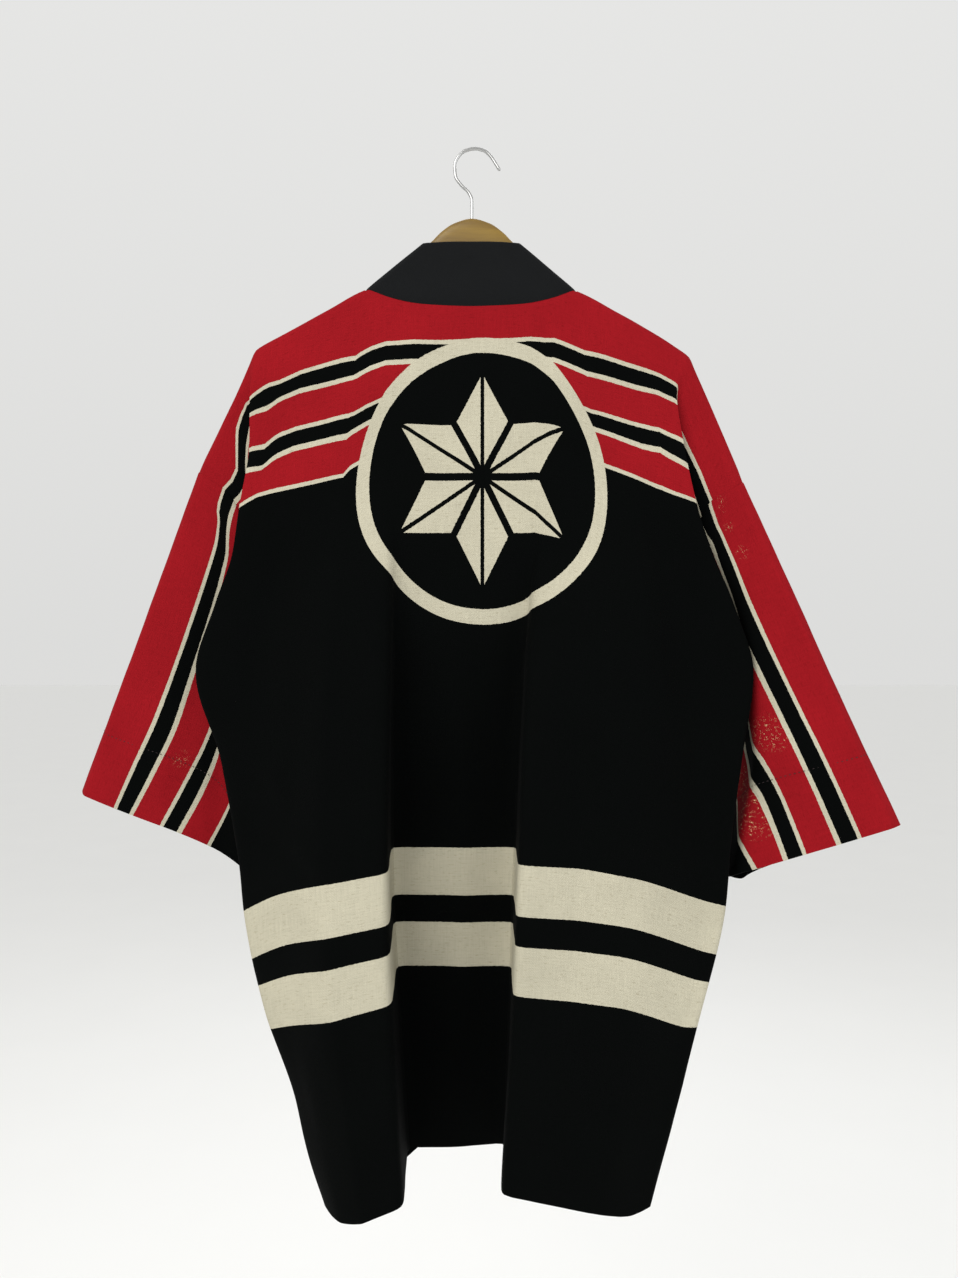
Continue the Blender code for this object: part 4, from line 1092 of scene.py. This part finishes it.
def add_rings(mesh, rings):
    """A wall from each ring of points to the next; gives back the first and the last ring."""
    made = [[mesh.verts.new(point * MM) for point in ring] for ring in rings]
    for start, end in zip(made, made[1:]):
        for i in range(len(start)):
            j = (i + 1) % len(start)
            mesh.faces.new([start[i], start[j], end[j], end[i]])
    return made[0], made[-1]


def add_tube(mesh, rings):
    """A wall round rings of points with both its ends closed."""
    first, last = add_rings(mesh, rings)
    mesh.faces.new(first)
    mesh.faces.new(last[::-1])


def solid_object(name, mesh, sharp):
    """The piece that a mesh makes, with its faces turned outward."""
    bmesh.ops.recalc_face_normals(mesh, faces=mesh.faces)
    data = bpy.data.meshes.new(name)
    mesh.to_mesh(data)
    mesh.free()
    return add_object(name, data, sharp)


def add_stitch(mesh, head, tail, way):
    """One stitch: a short thread that lies on the cloth with its ends drawn in."""
    across = unit(np.cross(tail - head, way))
    add_tube(mesh, [round_ring(head + (tail - head) * share + way * lift, across, way, size, STITCH_SIDES)
                    for share, size, lift in STITCH_SECTIONS])


def stitch_row(name, points, normals):
    """A run of small sewn stitches along a line of points."""
    places = distances(points)
    starts = (np.arange(int(places[-1] / STITCH_PITCH)) + STITCH_START) * STITCH_PITCH
    ends = starts + STITCH_SHARE * STITCH_PITCH
    heads = read_curve(places, points, starts)
    tails = read_curve(places, points, ends)
    ways = unit(read_curve(places, normals, 0.5 * (starts + ends)))
    mesh = bmesh.new()
    for head, tail, way in zip(heads, tails, ways):
        add_stitch(mesh, head, tail, way)
    made = solid_object(name, mesh, STITCH_SHARP)
    return made


def bulged(value, power):
    """A sine or cosine drawn toward a squarer or a rounder course."""
    return math.copysign(abs(value) ** power, value)


def make_hanger_wood():
    """Curved wooden hanger, rounded all round between its upper and its lower outline."""
    rings = []
    outlines = [smooth_line(rows, OUTLINE_POINTS)[0] for rows in (WOOD_TOP, WOOD_BOTTOM[::-1])]
    for high, low in zip(*outlines):
        half = 0.5 * (high - low)
        tall = np.linalg.norm(half)
        power = 2 * WOOD_EDGE_ROUND / tall if tall > WOOD_TALL else WOOD_LOW_POWER
        ring = []
        for turn in 2 * np.pi * np.arange(WOOD_SIDES) / WOOD_SIDES:
            out = WOOD_HALF_THICKNESS * bulged(math.sin(turn), WOOD_SQUARENESS)
            ring.append(0.5 * (high + low) + half * bulged(math.cos(turn), power) + FRONTWARD * out)
        rings.append(ring)
    mesh = bmesh.new()
    for ring, way in zip(add_rings(mesh, rings), (-1, 1)):
        centre = sum((vert.co for vert in ring), Vector()) / WOOD_SIDES
        tip = mesh.verts.new(centre + Vector((way * WOOD_END * MM, 0, 0)))
        for near, far in zip(ring, ring[1:] + ring[:1]):
            mesh.faces.new([near, far, tip])
    return solid_object("hanger_wood_body", mesh, HANGER_SHARP)


def make_hook():
    """Bent wire hook with a rounded tip."""
    path, at = smooth_line(HOOK_LINE, HOOK_POINTS)
    ways = unit(np.gradient(path, axis=0))
    left = np.clip((at[-1] - at) / WIRE_RADIUS, 0, 1)
    sizes = WIRE_RADIUS * np.sqrt(np.clip(1 - (1 - left) ** 2, WIRE_TIP, 1))
    mesh = bmesh.new()
    add_tube(mesh, [round_ring(point, np.cross(way, FRONTWARD), FRONTWARD, size, WIRE_SIDES)
                    for point, way, size in zip(path, ways, sizes)])
    return solid_object("hanger_hook_wire", mesh, HANGER_SHARP)


# Materials

class Output:
    """A node's output, which can be added, multiplied and compared like a number."""

    def __init__(self, shading, socket):
        self.shading = shading
        self.socket = socket

    def math(self, operation, *others):
        """One Math node on this output and others."""
        return self.shading.math(operation, self, *others)

    __add__ = partialmethod(math, "ADD")
    __sub__ = partialmethod(math, "SUBTRACT")
    __mul__ = partialmethod(math, "MULTIPLY")
    __truediv__ = partialmethod(math, "DIVIDE")
    __gt__ = partialmethod(math, "GREATER_THAN")
    __lt__ = partialmethod(math, "LESS_THAN")
    __abs__ = partialmethod(math, "ABSOLUTE")


class Shading:
    """A procedural material and the few node kinds that this scene uses."""

    def __init__(self, name, surface):
        self.material = bpy.data.materials.new(name)
        self.material.use_nodes = True
        self.tree = self.material.node_tree
        self.shader = self.tree.nodes["Principled BSDF"]
        for socket, value in SURFACES[surface].items():
            self.shader.inputs[socket].default_value = value

    def link(self, value, socket):
        """Give a socket a number, a colour or another node's output."""
        if isinstance(value, Output):
            self.tree.links.new(value.socket, socket)
        else:
            socket.default_value = value

    def node(self, kind, values=(), output=0, **settings):
        """One output of a new node with its inputs and settings."""
        made = self.tree.nodes.new("ShaderNode" + kind)
        for name, value in settings.items():
            setattr(made, name, value)
        for key, value in values:
            self.link(value, made.inputs[key])
        return Output(self, made.outputs[output])

    def math(self, operation, *values):
        """One Math node."""
        return self.node("Math", enumerate(values), operation=operation)

    def cloth(self):
        """The piece's places on the flat cloth: across, down and along a sleeve, in millimetres."""
        split = self.tree.nodes.new("ShaderNodeSeparateXYZ")
        self.link(self.node("Attribute", output="Vector", attribute_name="cloth"), split.inputs[0])
        return [Output(self, socket) for socket in split.outputs]

    def object_place(self):
        """The place on the piece itself, in metres."""
        return self.node("TexCoord", output="Object")

    def place(self, x, y):
        """A place on the flat cloth from its two numbers."""
        return self.node("CombineXYZ", enumerate((x, y)))

    def noise(self, place, name):
        """Soft noise from 0 to 1 at a place, by its name in NOISES."""
        scale, detail, roughness = NOISES[name]
        values = [("Vector", place), ("Scale", scale), ("Detail", detail), ("Roughness", roughness)]
        return self.node("TexNoise", values, "Fac")

    def ramp(self, value, stops):
        """Colours or shades along a value from 0 to 1."""
        node = self.tree.nodes.new("ShaderNodeValToRGB")
        for element, (place, colour) in zip(node.color_ramp.elements, stops):
            element.position = place
            element.color = colour
        self.link(value, node.inputs[0])
        return Output(self, node.outputs[0])

    def mix(self, share, first, second, blend="MIX"):
        """Two colours mixed."""
        values = zip(MIX_INPUTS, (share, first, second))
        return self.node("Mix", values, MIX_OUTPUT, data_type="RGBA", blend_type=blend)

    def shaded(self, colour, *shades):
        """A colour under one shade after another."""
        for shade in shades:
            colour = self.mix(1.0, colour, shade, "MULTIPLY")
        return colour

    def bump(self, height, name):
        """Bump of the shader, by its name in BUMPS."""
        distance, strength = BUMPS[name]
        values = [("Strength", strength), ("Distance", distance), ("Height", height)]
        self.link(self.node("Bump", values), self.shader.inputs["Normal"])

    def colour(self, value):
        """Base colour of the shader."""
        self.link(value, self.shader.inputs["Base Color"])


def between(value, low, high):
    """1 where the value lies between two numbers, else 0."""
    return (value > low) * (value < high)


def in_bands(value, bands):
    """1 where the value lies in one of the bands, else 0."""
    found = between(value, *bands[0])
    for low, high in bands[1:]:
        found = found.math("MAXIMUM", between(value, low, high))
    return found


def way_length(across, down):
    """Length of the way that goes so far across and so far down."""
    return (across * across + down * down).math("SQRT")


def canvas(shading, u, v):
    """Height of a plain weave from 0 to 1, and the uneven thickness of its threads."""
    drift = shading.noise(shading.place(u, v), "drift")
    across = (u + drift) * (math.pi / THREAD_PITCH)
    down = (v + drift) * (math.pi / THREAD_PITCH)
    warp = shading.noise(shading.place(u, v * THREAD_STRETCH), "thread")
    weft = shading.noise(shading.place(u * THREAD_STRETCH, v), "thread")
    threads = (warp + weft) * 0.5
    return across.math("SINE") * down.math("SINE") * CROSSING_HEIGHT + threads, threads


def striped(shading, v):
    """The stripes' colours down the cloth, and where the cloth is red."""
    cream = in_bands(v, CREAM_BANDS)
    red = (in_bands(v, RED_BANDS) - cream).math("MAXIMUM", 0.0)
    colour = shading.mix(red, COLOURS["black"], COLOURS["red"])
    return shading.mix(cream, colour, COLOURS["cream"]), red


def ring_and_star(shading, colour, u, v):
    """A ring on a black disc, and in it a star of six leaves, over a colour."""
    across = (u - RING_X) * (RING_RADIUS / RING_HALF_WIDTH)
    down = v - RING_V
    reach = way_length(across, down)
    colour = shading.mix(reach < RING_RADIUS, colour, COLOURS["black"])
    band = between(reach, RING_RADIUS - RING_BAND, RING_RADIUS)
    turn = across.math("ARCTAN2", down) + (HALF_LEAF + 2 * math.pi)
    folded = turn.math("MODULO", 2 * HALF_LEAF) - HALF_LEAF
    along = reach * folded.math("COSINE")
    side = reach * abs(folded.math("SINE"))
    inner = along * LEAF_SLOPE - STAR_GAP
    outer = shading.math("SUBTRACT", STAR_RADIUS, along) * LEAF_SLOPE
    leaf = (side < inner.math("MINIMUM", outer)) * (side > STAR_VEIN)
    return shading.mix(band.math("MAXIMUM", leaf), colour, COLOURS["cream"])


def coat_cloth(name, with_ring=False, flecks=()):
    """Canvas with printed stripes; flecks are patches where the red is worn."""
    shading = Shading(name, "printed")
    u, v, along = shading.cloth()
    flat = shading.place(u, v)
    wobble = (shading.noise(flat, "wobble") - 0.5) * STRIPE_WOBBLE
    colour, on_red = striped(shading, v + wobble)
    if with_ring:
        colour = ring_and_star(shading, colour, u + wobble, v + wobble)
    scratch = abs(shading.noise(flat, "scratch") - 0.5) < FLECK_WIDTH
    worn = scratch * shading.ramp(shading.noise(flat, "broken"), FLECK_STOPS)
    for fleck_along, fleck_v, reach, amount in flecks:
        away = way_length(along - fleck_along, v - fleck_v)
        near = shading.math("SUBTRACT", 1.0, away / reach) * amount
        near = near.math("MAXIMUM", 0.0).math("MINIMUM", 1.0) * on_red
        colour = shading.mix(near * worn, colour, COLOURS["worn"])
    weave, threads = canvas(shading, u, v)
    slubs = shading.ramp(shading.noise(shading.place(u * SLUB_STRETCH, v), "slub"), SLUB_STOPS)
    fade = shading.ramp(shading.noise(flat, "fade"), FADE_STOPS)
    shading.colour(shading.shaded(colour, slubs, fade, shading.ramp(threads, THREAD_STOPS)))
    shading.bump(weave, "canvas")
    return shading.material


def plain_cloth(name, colour):
    """Canvas of one colour."""
    shading = Shading(name, "plain")
    u, v = shading.cloth()[:2]
    weave, threads = canvas(shading, u, v)
    fade = shading.ramp(shading.noise(shading.place(u, v), "plain_fade"), FADE_STOPS)
    shading.colour(shading.shaded(COLOURS[colour], fade, shading.ramp(threads, THREAD_STOPS)))
    shading.bump(weave, "canvas")
    return shading.material


def thread_cloth():
    """Twisted sewing thread."""
    shading = Shading("sewing_thread", "thread")
    twist = shading.noise(shading.object_place(), "twist")
    shading.colour(shading.mix(twist, COLOURS["stitch"], COLOURS["thread_light"]))
    shading.bump(twist, "twist")
    return shading.material


def wood():
    """Varnished pale wood with fine grain along the arms."""
    shading = Shading("hanger_wood_grain", "wood")
    stretched = shading.node("Mapping", [("Scale", GRAIN_STRETCH), ("Vector", shading.object_place())])
    grain = shading.noise(stretched, "grain")
    shading.colour(shading.ramp(grain, GRAIN_STOPS))
    shading.bump(grain, "grain")
    return shading.material


def wire():
    """Bright plated wire with fine drawing lines."""
    shading = Shading("plated_wire", "wire")
    marks = shading.noise(shading.object_place(), "marks")
    shading.colour(shading.mix(marks, COLOURS["wire"], COLOURS["wire_dark"]))
    shading.bump(marks, "marks")
    return shading.material


def floor_paint():
    """Matt pale floor."""
    shading = Shading("floor_paint", "floor")
    clouds = shading.noise(shading.object_place(), "floor")
    shading.colour(shading.mix(clouds, COLOURS["floor"], COLOURS["floor_worn"]))
    return shading.material


def finish_piece(made, finish, slot_name, *nodes):
    """Give a piece its material and hide the nodes that it stands for; its slot name is not used."""
    made.data.materials.clear()
    made.data.materials.append(finish)
    if nodes:
        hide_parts(*nodes)


# Stage

def add_floor():
    """A wide pale floor, well below the hem."""
    mesh = bmesh.new()
    bmesh.ops.create_grid(mesh, x_segments=FLOOR_SEGMENTS, y_segments=FLOOR_SEGMENTS,
                          size=FLOOR_HALF_WIDTH * MM)
    data = bpy.data.meshes.new("floor")
    mesh.to_mesh(data)
    mesh.free()
    made = bpy.data.objects.new("floor", data)
    made.location = (0, 0, FLOOR_Z * MM)
    made.data.materials.append(floor_paint())
    bpy.context.collection.objects.link(made)


def add_light(name, place, size, power, colour):
    """A soft square light that faces the coat."""
    data = bpy.data.lights.new(name, "AREA")
    data.shape = "SQUARE"
    data.size = size
    data.energy = power
    data.color = colour
    made = bpy.data.objects.new(name, data)
    made.location = place
    made.rotation_euler = (Vector(LIGHT_TARGET) - Vector(place)).to_track_quat("-Z", "Y").to_euler()
    bpy.context.collection.objects.link(made)


def add_camera():
    """Camera level with the coat's middle, straight behind its back."""
    data = bpy.data.cameras.new("camera")
    data.lens = CAMERA_LENS
    data.sensor_width = SENSOR_WIDTH
    data.clip_start = CLIP_START
    made = bpy.data.objects.new("camera", data)
    made.location = Vector(CAMERA_PLACE) * MM
    made.rotation_euler = (math.radians(90), 0, 0)
    bpy.context.collection.objects.link(made)
    bpy.context.scene.camera = made


def set_world():
    """Even pale surroundings."""
    world = bpy.data.worlds.new("pale_room")
    world.use_nodes = True
    tree = world.node_tree
    background = tree.nodes["Background"]
    split = tree.nodes.new("ShaderNodeSeparateXYZ")
    tree.links.new(tree.nodes.new("ShaderNodeTexCoord").outputs["Generated"], split.inputs[0])
    rise = tree.nodes.new("ShaderNodeValToRGB")
    for element, (place, colour) in zip(rise.color_ramp.elements, WORLD_STOPS):
        element.position = place
        element.color = colour
    tree.links.new(split.outputs[2], rise.inputs[0])
    tree.links.new(rise.outputs[0], background.inputs["Color"])
    background.inputs["Strength"].default_value = WORLD_STRENGTH
    bpy.context.scene.world = world
    bpy.context.scene.view_settings.view_transform = "Standard"


# Making of the scene

add_camera()
set_world()
add_floor()
for light in LIGHTS:
    add_light(*light)

striped_canvas = coat_cloth("striped_canvas")
left_canvas = coat_cloth("striped_canvas_left_sleeve", flecks=LEFT_FLECKS)
right_canvas = coat_cloth("striped_canvas_right_sleeve", flecks=RIGHT_FLECKS)
ring_canvas = coat_cloth("striped_canvas_back", with_ring=True)
collar_canvas = plain_cloth("collar_canvas", "collar")
thread = thread_cloth()

back = make_back()
finish_piece(back, ring_canvas, "coat_cotton", "back")

for made, node in zip(make_fronts(), ("front_left", "front_right")):
    finish_piece(made, striped_canvas, "coat_cotton", node)

left_sleeve = make_sleeve("sleeve_left_cloth", LEFT_SLEEVE, LEFT_SIDE, LEFT_SLEEVE_CREASES, LEFT_SLEEVE_MARKS)
right_sleeve = make_sleeve("sleeve_right_cloth", RIGHT_SLEEVE, RIGHT_SIDE, RIGHT_SLEEVE_CREASES,
                           RIGHT_SLEEVE_MARKS)
for (made, grid, normals, rows), canvas_used, node, finish_name in (
        (left_sleeve, left_canvas, "sleeve_left", "cuff_left_stitches"),
        (right_sleeve, right_canvas, "sleeve_right", "cuff_right_stitches")):
    finish_piece(made, canvas_used, "coat_cotton", node)
    row = int(np.searchsorted(rows, SLEEVE_LENGTH - CUFF_HEM))
    path = grid[row] + normals[row] * STITCH_LIFT
    closed_path = np.concatenate([path, path[:1]])
    closed_ways = np.concatenate([normals[row], normals[row][:1]])
    sewn = stitch_row(finish_name, closed_path, closed_ways)
    sewn.data.materials.append(thread)

collar = make_collar()
finish_piece(collar, collar_canvas, "collar_cotton", "collar")

hanger = make_hanger_wood()
finish_piece(hanger, wood(), "hanger_wood", "hanger_wood")
hook = make_hook()
finish_piece(hook, wire(), "hook_wire", "hanger_hook")
